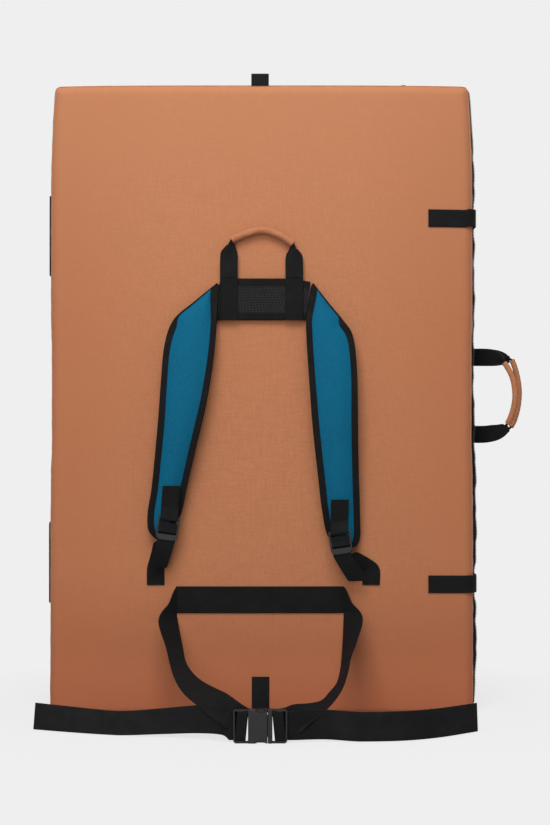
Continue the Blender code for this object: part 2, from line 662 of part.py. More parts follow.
def make_seam_tabs(mats):
    """Folded tab in the top front seam and the short strip that ends in the bottom seam."""
    deep = EDGE_RADIUS - (TOP_LOOP_SEAM - FACE_Y)
    rounding = EDGE_RADIUS - math.sqrt(EDGE_RADIUS ** 2 - deep ** 2)
    seam = soft((TOP_LOOP_X, TOP_LOOP_SEAM, PAD_HEIGHT - rounding))
    y, foot = seam.y, seam.z + CLEARANCE
    bend = TOP_LOOP_GAP / 2 + WEBBING_THICKNESS / 2
    top = foot + TOP_LOOP_RISE
    path = [Vector((TOP_LOOP_X, y - bend, foot)), Vector((TOP_LOOP_X, y - bend, top))]
    for k in range(1, 4):
        turn = math.pi * (1 - k / 4)
        path.append(Vector((TOP_LOOP_X, y + bend * math.cos(turn), top + bend * math.sin(turn))))
    path += [Vector((TOP_LOOP_X, y + bend, top)), Vector((TOP_LOOP_X, y + bend, foot + bend))]
    across = [Vector((1, 0, 0))] * len(path)
    piece("top_loop", ribbon(path, across, [WEBBING] * len(path), WEBBING_THICKNESS), mats["webbing"], None, 35)
    low, high = CLEARANCE, CLEARANCE + WEBBING_THICKNESS
    rings = []
    places = [((FACE_Y, z), (-1, 0)) for _, z in even_line((0, BOTTOM_STRIP_TOP), (0, EDGE_RADIUS), 3)]
    for share in BOTTOM_STRIP_TURN_SHARES:
        turn = math.pi / 2 * share
        out = (-math.cos(turn), -math.sin(turn))
        places.append(((FACE_Y + EDGE_RADIUS * (1 + out[0]), EDGE_RADIUS * (1 + out[1])), out))
    for (py, pz), (oy, oz) in places:
        ring = []
        for x, off in ((-1, low), (1, low), (1, high), (-1, high)):
            ring.append(soft((BOTTOM_STRIP_X + x * WEBBING / 2, py + oy * off, pz + oz * off)))
        rings.append(ring)
    piece("bottom_strip", loft(rings), mats["webbing"], None, 35)


def make_handle(prefix, mats, axis, frame, sizes, shares):
    """Webbing handle: two flat legs that gather into a round grip sleeve.

    frame is (origin, out, along), and sizes are (reach, spread, grip radius)."""
    origin, out, along = frame
    reach, spread, radius = sizes
    half = [(o * reach, a * spread / 2, w * WEBBING) for o, a, w in shares]
    rows = half + [(o, -a, w) for o, a, w in half[-2::-1]]
    steps = 2
    path = through(rows, steps)
    normal = out.cross(along).normalized()
    centres = [origin + out * o + along * a for o, a, _ in path]
    side = [normal.cross(d) for d in tangents(centres)]
    widths = [min(WEBBING, max(GRIP_CORE, w)) for _, _, w in path]
    start, end = LEG_ROWS * steps, len(path) - LEG_ROWS * steps
    for k in range(start - 1, end + 1):
        widths[k] = GRIP_CORE
    webbing = ribbon(centres, side, widths, WEBBING_THICKNESS)
    piece(prefix + "_webbing", webbing, mats["webbing"], axis, 35)
    bore = math.hypot(GRIP_CORE, WEBBING_THICKNESS) / 2 + GRIP_CORE_ROOM
    grip = sleeve(centres[start:end], normal, max(radius, bore + GRIP_WALL), bore)
    piece(prefix + "_grip", grip, mats["canvas"], axis, 40)


def make_side_handles(mats, back):
    """One handle in the opening seam of each half."""
    for prefix, place, carrier, lean in (("harness_side_handle", stay, None, SIDE_HANDLE_LEANS[0]),
                                         ("back_side_handle", behind_fold, back, -SIDE_HANDLE_LEANS[1])):
        wall = soft((HALF_WIDTH, LANDING_Y - SIDE_HANDLE_FROM_FOLD, SIDE_HANDLE_HEIGHT))
        root = place(Vector((wall.x + HANDLE_ROOT_GAP, wall.y, SIDE_HANDLE_HEIGHT)))
        forward = 1 if place is stay else -1
        out = Vector((math.cos(lean), forward * math.sin(lean), 0))
        axis = pivot(prefix + "_axis", root, carrier)
        frame = (root, out, Vector((0, 0, 1)))
        make_handle(prefix, mats, axis, frame, (SIDE_HANDLE_REACH, SIDE_HANDLE_SPREAD, SIDE_GRIP_RADIUS),
                    SIDE_HANDLE_SHARES)


def make_top_handle(mats):
    leg = on_face(TOP_HANDLE_SPREAD / 2, HANDLE_ROOT_Z, HANDLE_OFF)
    root = Vector((0, leg.y, leg.z))
    axis = pivot("top_handle_axis", root - Vector((0, WEBBING_THICKNESS / 2, 0)))
    out = Vector((0, math.sin(TOP_HANDLE_LEAN), math.cos(TOP_HANDLE_LEAN)))
    make_handle("top_handle", mats, axis, (root, out, Vector((1, 0, 0))),
                (TOP_HANDLE_REACH, TOP_HANDLE_SPREAD, TOP_GRIP_RADIUS), TOP_HANDLE_SHARES)
    low = HANDLE_OFF - WEBBING_THICKNESS / 2
    for name, side in (("left", -1), ("right", 1)):
        x = side * TOP_HANDLE_SPREAD / 2
        rows = even_line((x, YOKE_BOTTOM - YOKE_LIP), (x, YOKE_TOP + YOKE_LIP), 3)
        patch = face_strip(rows, WEBBING, low, low + WEBBING_THICKNESS)
        piece("top_handle_patch_" + name, patch, mats["webbing"])


def make_yoke(mats):
    """Spacer mesh between the straps, with a folded binding along its top and bottom edges."""
    middle = (YOKE_TOP + YOKE_BOTTOM) / 2
    rear = CLEARANCE + BINDING_THICKNESS + CLEARANCE
    rows = even_line((YOKE_LEFT, middle), (YOKE_RIGHT, middle), 4)
    mesh = face_strip(rows, YOKE_TOP - YOKE_BOTTOM, rear, rear + YOKE_MESH)
    piece("yoke_mesh", mesh, mats["mesh"])
    front = CLEARANCE + BINDING_STACK
    for name, edge, up in (("top", YOKE_TOP, 1), ("bottom", YOKE_BOTTOM, -1)):
        inner, lip, over = edge - up * YOKE_BINDING_WIDTH, edge + up * CLEARANCE, edge + up * YOKE_LIP
        section = [(CLEARANCE, inner), (CLEARANCE, over), (front, over), (front, inner),
                   (front - BINDING_THICKNESS, inner), (front - BINDING_THICKNESS, lip),
                   (rear - CLEARANCE, lip), (rear - CLEARANCE, inner)]
        rings = [[on_face(x, z, off) for off, z in section] for x, _ in rows]
        piece("yoke_binding_" + name, loft(rings), mats["webbing"])


def stand_off(z):
    """How far the straps' middle plane stands off the face at a height: an arch, low at both ends."""
    down = (STRAP_TOP - z) / STRAP_DROP
    return STRAP_SEAT + (STRAP_BOTTOM_SEAT - STRAP_SEAT) * down + STRAP_ARCH * math.sin(math.pi * down)


def strap_front(t, z, u=0.0):
    """Thickness of the padding in front of the edge plane, t down the strap and u across it."""
    down = max(0, min(1, (STRAP_TOP - z) / STRAP_DROP))
    inner = 1 - STRAP_BINDING_SHARE
    crown = max(0, 1 - (u / inner) ** 2) * (1 - STRAP_TIP_THIN_SHARE * down ** 4)
    fade = max(0, min(1, (STRAP_END_SHARE - t) / STRAP_FADE_SHARE))
    return STRAP_EDGE / 2 + (STRAP_THICKNESS - STRAP_EDGE) * crown * fade


def strap_point(edges, t, u, off):
    """Point on a strap: t down its length, u from its outer to its inner edge, off to the front."""
    at = t * (len(edges) - 1)
    k = min(int(at), len(edges) - 2)
    row = edges[k] + (edges[k + 1] - edges[k]) * (at - k)
    x = row[0] + (row[2] - row[0]) * (u + 1) / 2
    z = row[1] + (row[3] - row[1]) * (u + 1) / 2
    return Vector((x, on_face(x, z, stand_off(z) + off).y, z))


def strap_layer(edges, front, back, us):
    """A layer of a strap between two thickness functions of (t, z, u)."""
    rings = []
    for k in range(len(edges)):
        t = k / (len(edges) - 1)
        plain = [strap_point(edges, t, u, 0) for u in us]
        there = [p - Vector((0, front(t, p.z, u), 0)) for p, u in zip(plain, us)]
        again = [p - Vector((0, back(t, p.z, u), 0)) for p, u in zip(plain, us)]
        rings.append(there + again[::-1])
    return split(loft(rings))


def strap_binding(edges):
    """Folded tape round a strap's edge: down the outer side, round the tip and up the inner side."""
    count = len(edges) - 1
    inner_u = 1 - STRAP_BINDING_SHARE
    run = []
    for k in range(count):
        t = k / count
        run.append((1, t, inner_u, min(t, STRAP_END_SHARE - STRAP_FADE_SHARE / 2)))
    run += [(1, 1, inner_u, STRAP_END_SHARE), (0.5, 1, inner_u / 2, STRAP_END_SHARE)]
    run = [(-a, b, -c, d) for a, b, c, d in run] + [(0, 1, 0, STRAP_END_SHARE)] + run[::-1]
    hollow = STRAP_EDGE / 2 + 2 * CLEARANCE + STRAP_CLOTH
    over = hollow + BINDING_THICKNESS
    rings = []
    for u, t, u_in, t_in in run:
        rim = strap_point(edges, t, u, 0)
        inner = strap_point(edges, t_in, u_in, 0)
        away = rim - inner
        away = Vector((away.x, 0, away.z)).normalized()
        edge, far = rim + away * CLEARANCE, rim + away * (CLEARANCE + BINDING_THICKNESS)
        front = Vector((0, -1, 0))
        rings.append([inner + front * over, far + front * over, far - front * over, inner - front * over,
                      inner - front * hollow, edge - front * hollow, edge + front * hollow, inner + front * hollow])
    return split(loft(rings))


def corner_bend(v, w, radius, start, end):
    """Three points round a bar's corner, between two directions given in degrees from +v to +w."""
    turns = [math.radians(start + (end - start) * k / 2) for k in range(3)]
    return [(v + radius * math.cos(t), w + radius * math.sin(t)) for t in turns]


def lock_place(lock, turn):
    """Placing function of a ladder lock: across, up and forward from its middle."""
    middle = on_face(lock[0], STRAP_TOP - lock[1], LOCK_STAND_OFF)
    right = Vector((math.cos(turn), 0, math.sin(turn)))
    up = Vector((-math.sin(turn), 0, math.cos(turn)))
    front = Vector((0, -1, 0))
    return lambda u, v, w: middle + right * u + up * v + front * w


def lock_heights():
    """Heights in the ladder lock, from its middle: the bars' edges, top to bottom."""
    top = LOCK_HEIGHT / 2
    bar_low = top - LOCK_TOP_BAR
    lip = LOCK_LIP - top
    wrap_low = lip + LOCK_SLOT
    wrap_high = wrap_low + LOCK_BAR
    upper_low = wrap_high + LOCK_SLOT
    return top, bar_low, upper_low + LOCK_BAR, upper_low, wrap_high, wrap_low, lip


def make_lock(name, mats, place, axis):
    """Moulded ladder lock: side rails, top bar, two cross bars and a thin lip with a rounded end."""
    half, room = LOCK_WIDTH / 2, LOCK_WIDTH / 2 - LOCK_RAIL
    top, bar_low, upper_high, upper_low, wrap_high, wrap_low, lip = lock_heights()
    corner, deep = LOCK_CORNER, LOCK_DEPTH / 2
    outline = [(-half, top - corner), (corner - half, top), (half - corner, top), (half, top - corner)]
    for side in (1, -1):
        for k in range(5):
            turn = math.pi / 2 * (k if side > 0 else 4 - k) / 4
            outline.append((side * (half - LOCK_LIP_CORNER * (1 - math.cos(turn))),
                            LOCK_LIP_CORNER * (1 - math.sin(turn)) - top))
    lock = piece(name, prism(outline, -deep, deep, place), mats["plastic"], axis, 35)
    for k, (high, low) in enumerate(((bar_low, upper_high), (upper_low, wrap_high), (wrap_low, lip))):
        hole = [(-room, low), (room, low), (room, high), (-room, high)]
        cut_out(lock, name + "_slot_%d" % k, prism(hole, -2 * deep, 2 * deep, place))
    wide, under, ledge = half + OVERRUN, -top - OVERRUN, (wrap_low + lip) / 2
    behind = [(-wide, under), (wide, under), (wide, ledge), (-wide, ledge)]
    cut_out(lock, name + "_behind_lip", prism(behind, -2 * deep, deep - LOCK_LIP_DEPTH, place))
    round_edges(lock, LOCK_BEVEL)


def make_tab(name, mats, lock, place, axis):
    """Webbing loop sewn on the strap's front and folded round the ladder lock's top bar."""
    top, bar_low = lock_heights()[:2]
    half = WEBBING_THICKNESS / 2
    wrap = CLEARANCE + half
    deep = LOCK_DEPTH / 2
    bar = place(0, (top + bar_low) / 2, 0)
    over_bar = bar.z + (top - bar_low)
    sewn = []
    for k in range(4):
        z = over_bar + TAB_LENGTH * (1 - k / 4)
        off = stand_off(z) + strap_front(0, z) + 2 * CLEARANCE + STRAP_CLOTH + half
        x = bar.x + (z - bar.z) * math.copysign(math.tan(LOCK_TURN), -bar.x) / 2
        sewn.append((x, z, off))
    step = WEBBING_THICKNESS + CLEARANCE
    rear = [on_face(x, z, off) for x, z, off in sewn]
    front = [on_face(x, z, off + step) for x, z, off in sewn[::-1]]
    sole = bar_low - TAB_ROOM
    bend = [(top, -deep - wrap)] + corner_bend(sole, -deep, wrap, -90, -180)
    bend += corner_bend(sole, deep, wrap, 180, 90) + [(top, deep + wrap)]
    path = rear + [place(0, v, w) for v, w in bend] + front
    right = (place(1, 0, 0) - place(0, 0, 0)).normalized()
    across = [right] * len(path)
    piece(name, ribbon(path, across, [WEBBING] * len(path), WEBBING_THICKNESS), mats["webbing"], axis, 35)


def beside(start, end, right, share):
    """Direction across a strip that runs from start to end, mixed with the lock's own across."""
    way = end - start
    across = Vector((way.z, 0, -way.x)).normalized()
    across = -across if across.x < 0 else across
    return right.lerp(across, share).normalized()


def make_adjuster(name, mats, place, foot_x, tail_end):
    """Webbing sewn to the cover, up behind the ladder lock, over its wrap bar and out as a tail."""
    _, _, _, _, wrap_high, wrap_low, lip = lock_heights()
    bottom, deep = -LOCK_HEIGHT / 2 - OVERRUN, LOCK_DEPTH / 2
    half = THIN_WEBBING / 2
    wrap = CLEARANCE + half
    tail_w = LOCK_LIP_DEPTH - deep + CLEARANCE + half
    load_w = deep + wrap + half
    foot = CLEARANCE + half
    head = place(0, bottom, -load_w)
    sewn_top = on_face(foot_x, ADJUSTER_END + ADJUSTER_SEWN, foot)
    lift = []
    for share, rise in ADJUSTER_LIFT_SHARES:
        at = sewn_top.lerp(head, share)
        at.y = sewn_top.y + (head.y - sewn_top.y) * rise
        lift.append(at)
    bends = [(bottom, -load_w), (lip, -load_w)] + corner_bend(wrap_high, -deep, wrap, -90, 0)
    bends += corner_bend(wrap_high, deep, wrap, 0, 90) + corner_bend(wrap_low, deep, wrap, 90, 180)
    bends += corner_bend(lip, deep - LOCK_LIP_DEPTH, wrap, -30, -90) + [(bottom, -tail_w)]
    inside = [place(0, v, w) for v, w in bends]
    start = inside[-1]
    end = on_face(tail_end[0], tail_end[1], TAIL_STAND_OFF)
    tail = [start.lerp(end, share) for share in ADJUSTER_TAIL_SHARES]
    path = [on_face(foot_x, ADJUSTER_END, foot), sewn_top] + lift + inside + tail
    right = (place(1, 0, 0) - place(0, 0, 0)).normalized()
    plain = Vector((1, 0, 0))
    across = [plain, plain] + [beside(sewn_top, head, right, share) for share in ADJUSTER_TURN_SHARES]
    across += [right] * len(inside) + [beside(start, end, right, share) for share in ADJUSTER_TAIL_SHARES]
    piece(name, ribbon(path, across, [WEBBING] * len(path), THIN_WEBBING), mats["webbing"], None, 35)


def make_strap(side, mats, shares, lock, turn, foot_x, tail_end):
    """Shoulder strap with its cloth layers, foam, binding, tab, ladder lock and adjuster webbing."""
    name = "strap_" + side
    rows = [(a * STRAP_REACH, STRAP_TOP - b * STRAP_DROP, c * STRAP_REACH, STRAP_TOP - d * STRAP_DROP)
            for a, b, c, d in shares]
    edges = through(rows, STRAP_STEPS)
    top = Vector((0, FACE_Y - CLEARANCE, STRAP_TOP))
    axis = pivot(name + "_axis", top)
    inner = 1 - STRAP_BINDING_SHARE
    us = (-1, -inner, -inner / 2, 0, inner / 2, inner, 1)
    step = CLEARANCE + STRAP_CLOTH

    def front(extra):
        return lambda t, z, u: strap_front(t, z, u) + extra

    def back(extra):
        return lambda t, z, u: -STRAP_EDGE / 2 - extra

    piece(name + "_foam", strap_layer(edges, front(0), back(0), us), mats["foam"], axis)
    face = strap_layer(edges, front(step), front(CLEARANCE), us)
    piece(name + "_face", face, mats["strap_face"], axis, 35)
    backing = strap_layer(edges, back(CLEARANCE), back(step), (-1, 1))
    piece(name + "_backing", backing, mats["mesh"], axis, 35)
    piece(name + "_binding", strap_binding(edges), mats["webbing"], axis, 35)
    place = lock_place(lock, turn)
    make_tab(name + "_tab", mats, lock, place, axis)
    top_v, bar_low = lock_heights()[:2]
    lock_axis = pivot("ladder_lock_axis_" + side, place(0, (top_v + bar_low) / 2, 0), axis)
    make_lock("ladder_lock_" + side, mats, place, lock_axis)
    make_adjuster("adjuster_webbing_" + side, mats, place, foot_x, tail_end)


def buckle_strands(side):
    """Webbing path through one end of the waist buckle, from the load strand to the tail strand."""
    far = BUCKLE_LENGTH / 2
    outer = far - BUCKLE_OUTER_BAR
    bar_out = outer - BUCKLE_SLOT
    bar_in = bar_out - BUCKLE_INNER_BAR
    deep, half = BUCKLE_FRAME_DEPTH / 2, WEBBING_THICKNESS / 2
    wrap = CLEARANCE + half
    load = deep + wrap + WEBBING_THICKNESS + CLEARANCE
    route = [(far + BUCKLE_SLOT, load), (bar_out, load)]
    route += corner_bend(bar_in, deep, wrap, 90, 180) + corner_bend(bar_in, -deep, wrap, 180, 270)
    route += corner_bend(bar_out, -deep, wrap, -90, 0)
    route += corner_bend(outer, deep, wrap, 180, 90) + [(far + BUCKLE_SLOT, deep + wrap)]
    return [Vector((BUCKLE_X + side * u, BUCKLE_Y + y, BUCKLE_Z)) for u, y in route]


def make_belt(name, mats, side, loops, tails, end_x):
    """Waist webbing: from under the band, down and out to the buckle, round its bar, and the tail."""
    centres, acrosses, widths = [], [], []
    for x, out, z, ax, ay, az, width in loops:
        root = on_face(x * HALF_WIDTH, z * BAND_HEIGHT, 0)
        centres.append(Vector((x * HALF_WIDTH, root.y + (BUCKLE_Y - root.y) * out, z * BAND_HEIGHT)))
        acrosses.append(Vector((ax, ay, az)))
        widths.append(width * WAIST_WEBBING)
    rows = [tuple(c) + tuple(a) + (w,) for c, a, w in zip(centres, acrosses, widths)]
    strands = buckle_strands(side)
    down = (0.0, 0.0, -1.0)
    rows.append(tuple(strands[0] + Vector((side * WAIST_WEBBING / 4, 2 * BUCKLE_SLOT, 0))) + down + (WAIST_WEBBING,))
    loop = through(rows, 2)
    lean = Vector((0, -math.sin(TAIL_LEAN), -math.cos(TAIL_LEAN)))
    ground = WAIST_WEBBING / 2 * math.cos(TAIL_LEAN) + CLEARANCE + WEBBING_THICKNESS / 2
    tail_rows = [tuple(strands[-1]) + down]
    for x, out in tails:
        tail_rows.append((x * end_x, FACE_Y - out * BELT_REACH, ground) + tuple(lean))
    tail = through(tail_rows, 3)[1:]
    path = [Vector(r[:3]) for r in loop] + strands + [Vector(r[:3]) for r in tail]
    across = [Vector(r[3:6]) for r in loop] + [Vector(down)] * len(strands) + [Vector(r[3:6]) for r in tail]
    width = [r[6] for r in loop] + [WAIST_WEBBING] * (len(strands) + len(tail))
    piece(name, ribbon(path, across, width, WEBBING_THICKNESS), mats["webbing"], None, 35)


def upright(x, z, y):
    """Places (x, height, depth) of the waist buckle's outlines."""
    return Vector((x, BUCKLE_Y + y, z))


def buckle_frame(side, body_x):
    """Outline and holes of the webbing frame at one end, joined to the body at body_x."""
    far = BUCKLE_X + side * BUCKLE_LENGTH / 2
    low, high = BUCKLE_Z - BUCKLE_HEIGHT / 2, BUCKLE_Z + BUCKLE_HEIGHT / 2
    corner = BUCKLE_RAIL
    outline = [(body_x, low), (far - side * corner, low), (far, low + corner), (far, high - corner),
               (far - side * corner, high), (body_x, high)]
    holes = []
    x = far - side * BUCKLE_OUTER_BAR
    for slot, bar in ((BUCKLE_SLOT, BUCKLE_INNER_BAR), (BUCKLE_BODY_SLOT, 0)):
        inner = x - side * slot
        holes.append([(x, low + corner), (x, high - corner), (inner, high - corner), (inner, low + corner)])
        x = inner - side * bar
    return outline, holes


def join(obj, name, bm):
    """Adds one solid to another, which stays one body."""
    other = piece(name, bm, obj.data.materials[0], obj.parent)
    other.hide_render = True
    other.display_type = "WIRE"
    union = obj.modifiers.new(name, "BOOLEAN")
    union.operation = "UNION"
    union.object = other


def make_frame(obj, name, side, body_x):
    """Webbing frame with its two bars, joined to a buckle half."""
    outline, holes = buckle_frame(side, body_x)
    deep = BUCKLE_FRAME_DEPTH / 2
    join(obj, name + "_frame", prism(outline, -deep, deep, upright))
    for k, hole in enumerate(holes):
        cut_out(obj, name + "_frame_slot_%d" % k, prism(hole, -2 * deep, 2 * deep, upright))


def make_socket(mats):
    """Hollow socket, open towards the plug, with a window in each long edge for the prongs."""
    name = "waist_buckle_socket"
    low, high = BUCKLE_Z - BUCKLE_HEIGHT / 2, BUCKLE_Z + BUCKLE_HEIGHT / 2
    deep = BUCKLE_BODY_DEPTH / 2
    body = solid_box((SOCKET_LEFT, BUCKLE_Y - deep, low), (SOCKET_MOUTH, BUCKLE_Y + deep, high))
    socket = piece(name, body, mats["plastic"], None, 35)
    round_edges(socket, BUCKLE_BEVEL, 2, 60)
    make_frame(socket, name, -1, SOCKET_LEFT + BUCKLE_WALL / 2)
    room = deep - BUCKLE_WALL
    cavity = solid_box((SOCKET_LEFT + BUCKLE_WALL, BUCKLE_Y - room, low + BUCKLE_WALL),
                       (SOCKET_MOUTH + OVERRUN, BUCKLE_Y + room, high - BUCKLE_WALL))
    cut_out(socket, name + "_cavity", cavity)
    right = SOCKET_MOUTH - BUCKLE_WINDOW_FROM_MOUTH
    for edge, z in (("lower", low), ("upper", high)):
        window = solid_box((right - BUCKLE_WINDOW, BUCKLE_Y - room, z - OVERRUN),
                           (right, BUCKLE_Y + room, z + OVERRUN))
        cut_out(socket, name + "_window_" + edge, window)
        rise = BUCKLE_NOTCH_RADIUS - BUCKLE_NOTCH_DEPTH
        centre = Vector((right - BUCKLE_WINDOW / 2, z + math.copysign(rise, z - BUCKLE_Z)))
        rim = []
        for k in range(16):
            turn = math.tau * k / 16
            rim.append((centre.x + BUCKLE_NOTCH_RADIUS * math.cos(turn), centre.y + BUCKLE_NOTCH_RADIUS * math.sin(turn)))
        notch = prism(rim, -deep - OVERRUN, -room + BUCKLE_WALL / 2, upright)
        cut_out(socket, name + "_notch_" + edge, notch)


def prong_outline(way):
    """Side outline of a prong as (x, height): arm, sloped nose and the catch behind the window."""
    edge = BUCKLE_Z + way * BUCKLE_HEIGHT / 2
    root_x, tip_x = PLUG_LEFT - PLUG_GAP, PLUG_LEFT - PLUG_GAP - PRONG_LENGTH
    arm = edge - way * (BUCKLE_WALL + PRONG_SEAT + PRONG_HEAD)
    catch_x = SOCKET_MOUTH - BUCKLE_WINDOW_FROM_MOUTH - PRONG_SEAT
    head_x = SOCKET_MOUTH - BUCKLE_WINDOW_FROM_MOUTH - BUCKLE_WINDOW + PRONG_SEAT
    crest, shoulder = edge - way * PRONG_SEAT, edge - way * (BUCKLE_WALL + PRONG_SEAT)
    return [(root_x, arm), (root_x, arm + way * PRONG_ARM), (catch_x, shoulder), (catch_x, crest),
            (head_x, crest - way * PRONG_SEAT), (tip_x, arm + way * PRONG_ARM / 2), (tip_x, arm - way * PRONG_ARM / 2),
            (head_x, arm)]


def make_plug(mats):
    """Plug with its webbing frame and middle guide, and the two prongs that spring in when squeezed."""
    name = "waist_buckle_plug"
    axis = pivot("waist_buckle_run", Vector((PLUG_LEFT, BUCKLE_Y, BUCKLE_Z)))
    low, high = BUCKLE_Z - BUCKLE_HEIGHT / 2, BUCKLE_Z + BUCKLE_HEIGHT / 2
    deep = BUCKLE_BODY_DEPTH / 2
    flange = solid_box((PLUG_LEFT, BUCKLE_Y - deep, low), (PLUG_RIGHT, BUCKLE_Y + deep, high))
    plug = piece(name, flange, mats["plastic"], axis, 35)
    round_edges(plug, BUCKLE_BEVEL, 2, 60)
    make_frame(plug, name, 1, PLUG_RIGHT - BUCKLE_WALL / 2)
    guide = solid_box((PLUG_LEFT - GUIDE_LENGTH, BUCKLE_Y - GUIDE_DEPTH / 2, BUCKLE_Z - GUIDE_WIDTH / 2),
                      (PLUG_LEFT + BUCKLE_WALL, BUCKLE_Y + GUIDE_DEPTH / 2, BUCKLE_Z + GUIDE_WIDTH / 2))
    join(plug, name + "_guide", guide)
    for edge, way in (("upper", 1), ("lower", -1)):
        outline = prong_outline(way)
        root = upright(outline[0][0], (outline[0][1] + outline[1][1]) / 2, 0)
        hinge = pivot("prong_axis_" + edge, root, axis)
        prong = prism(outline, -PRONG_DEPTH / 2, PRONG_DEPTH / 2, upright)
        piece("waist_buckle_prong_" + edge, prong, mats["plastic"], hinge)


def make_materials():
    return {
        "canvas": finish("canvas", (188, 122, 84), 0.85),
        "landing": finish("landing_cloth", (38, 38, 40), 0.8),
        "foam": finish("foam", (222, 214, 190), 0.9),
        "firm_foam": finish("firm_foam", (90, 92, 96), 0.8),
        "webbing": finish("webbing", (30, 29, 29), 0.7),
        "mesh": finish("spacer_mesh", (22, 22, 23), 0.75),
        "strap_face": finish("strap_face", (17, 103, 140), 0.8),
        "plastic": finish("black_plastic", (48, 46, 50), 0.4),
        "metal": finish("slider_metal", (60, 60, 62), 0.35, 0.8),
    }


def main():
    for obj in list(bpy.data.objects):
        bpy.data.objects.remove(obj)
    mats = make_materials()
    back = pivot("fold_axis", Vector((FOLD_X, FOLD_Y, 0)))
    make_half("harness", mats, stay, None)
    make_half("back", mats, behind_fold, back)
    make_zip("harness", mats, stay, None, None)
    make_zip("back", mats, behind_fold, back, back)
    make_hinge(mats)
    make_spine_patches(mats, back)
    make_closures(mats, back)
    make_seam_tabs(mats)
    make_yoke(mats)
    make_top_handle(mats)
    make_side_handles(mats, back)
    make_strap("left", mats, LEFT_STRAP_SHARES, LOCK_LEFT, -LOCK_TURN, ADJUSTER_LEFT_X, TAIL_LEFT)
    make_strap("right", mats, RIGHT_STRAP_SHARES, LOCK_RIGHT, LOCK_TURN, ADJUSTER_RIGHT_X, TAIL_RIGHT)
    band = face_strip(even_line((BAND_LEFT, BAND_HEIGHT), (BAND_RIGHT, BAND_HEIGHT), 6), WAIST_WEBBING,
                      CLEARANCE, CLEARANCE + WEBBING_THICKNESS)
    piece("waist_band", band, mats["webbing"])
    make_belt("waist_webbing_left", mats, -1, LEFT_LOOP_SHARES, LEFT_TAIL_SHARES, BELT_LEFT_END)
    make_belt("waist_webbing_right", mats, 1, RIGHT_LOOP_SHARES, RIGHT_TAIL_SHARES, BELT_RIGHT_END)
    make_socket(mats)
    make_plug(mats)


main()
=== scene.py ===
"""Looks of a folded bouldering crash pad: cloth covers, webbing, padded straps and fittings.

Metres, +Z up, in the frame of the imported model. The harness half is in front, towards -Y, the
spine is at -X and the pad opens at +X. Shapes are worked out as whole arrays of points.
"""
import math

import bmesh
import bpy
import numpy as np
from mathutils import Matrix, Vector


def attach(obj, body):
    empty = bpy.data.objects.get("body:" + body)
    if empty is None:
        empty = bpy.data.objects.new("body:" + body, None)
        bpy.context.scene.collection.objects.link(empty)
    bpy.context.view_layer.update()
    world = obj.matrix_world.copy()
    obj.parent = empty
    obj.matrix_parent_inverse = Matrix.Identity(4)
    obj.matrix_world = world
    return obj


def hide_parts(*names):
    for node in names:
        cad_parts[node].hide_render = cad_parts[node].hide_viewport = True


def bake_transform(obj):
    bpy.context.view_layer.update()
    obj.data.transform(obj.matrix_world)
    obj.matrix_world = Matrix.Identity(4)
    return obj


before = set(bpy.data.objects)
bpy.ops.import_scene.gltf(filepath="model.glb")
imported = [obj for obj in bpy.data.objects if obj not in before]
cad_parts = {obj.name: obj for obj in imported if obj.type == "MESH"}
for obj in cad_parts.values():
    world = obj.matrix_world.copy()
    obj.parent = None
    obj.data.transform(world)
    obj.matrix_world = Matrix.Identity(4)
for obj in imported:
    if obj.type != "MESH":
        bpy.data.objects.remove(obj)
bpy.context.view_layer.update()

MM = 0.001
TAU = math.tau

# Pad
HALF_WIDTH = 302 * MM
PAD_HEIGHT = 890 * MM
FACE, LANDING = -45 * MM, 45 * MM
FOLD = 46.5 * MM
ROUNDING = 13 * MM
CROWN, SEAM_DRAW, TOP_DRAW, TOP_SAG = 5 * MM, 4 * MM, 5 * MM, 2 * MM
TOP_RIDGE = 6 * MM
SQUARE = 5
SEAM_Y, ZIP_Y = -38 * MM, -22 * MM
PANEL = 1.5 * MM
BOARD = 13 * MM
GAP = 0.3 * MM
CLOSURES = (("upper", 703 * MM), ("lower", 182 * MM))

# Webbing, its thread, and the directions across it
WEBBING, BELT, THICK, THIN = 25 * MM, 38 * MM, 1.4 * MM, 1.2 * MM
THREAD, PROUD = 0.42 * MM, 0.1 * MM
LEVEL, UPRIGHT = (1.0, 0, 0), (0, 0, 1.0)

# Yoke and straps
YOKE = (-64.1 * MM, 63 * MM, 558 * MM, 615 * MM)
YOKE_MESH, TAPE = 4 * MM, 0.9 * MM
STACK = YOKE_MESH + 2 * (TAPE + GAP)
LEGS_OFF = GAP + STACK + GAP + THICK / 2
STRAP_REACH, STRAP_TOP, STRAP_DROP = 161 * MM, 609 * MM, 364 * MM
STRAP_THICK, STRAP_EDGE, STRAP_CLOTH = 9.6 * MM, 3.2 * MM, 0.8 * MM
BINDING = 8.2 * MM
STRAP_SEAT, STRAP_LOW_SEAT, STRAP_ARCH = 4.6 * MM, 9.6 * MM, 17 * MM
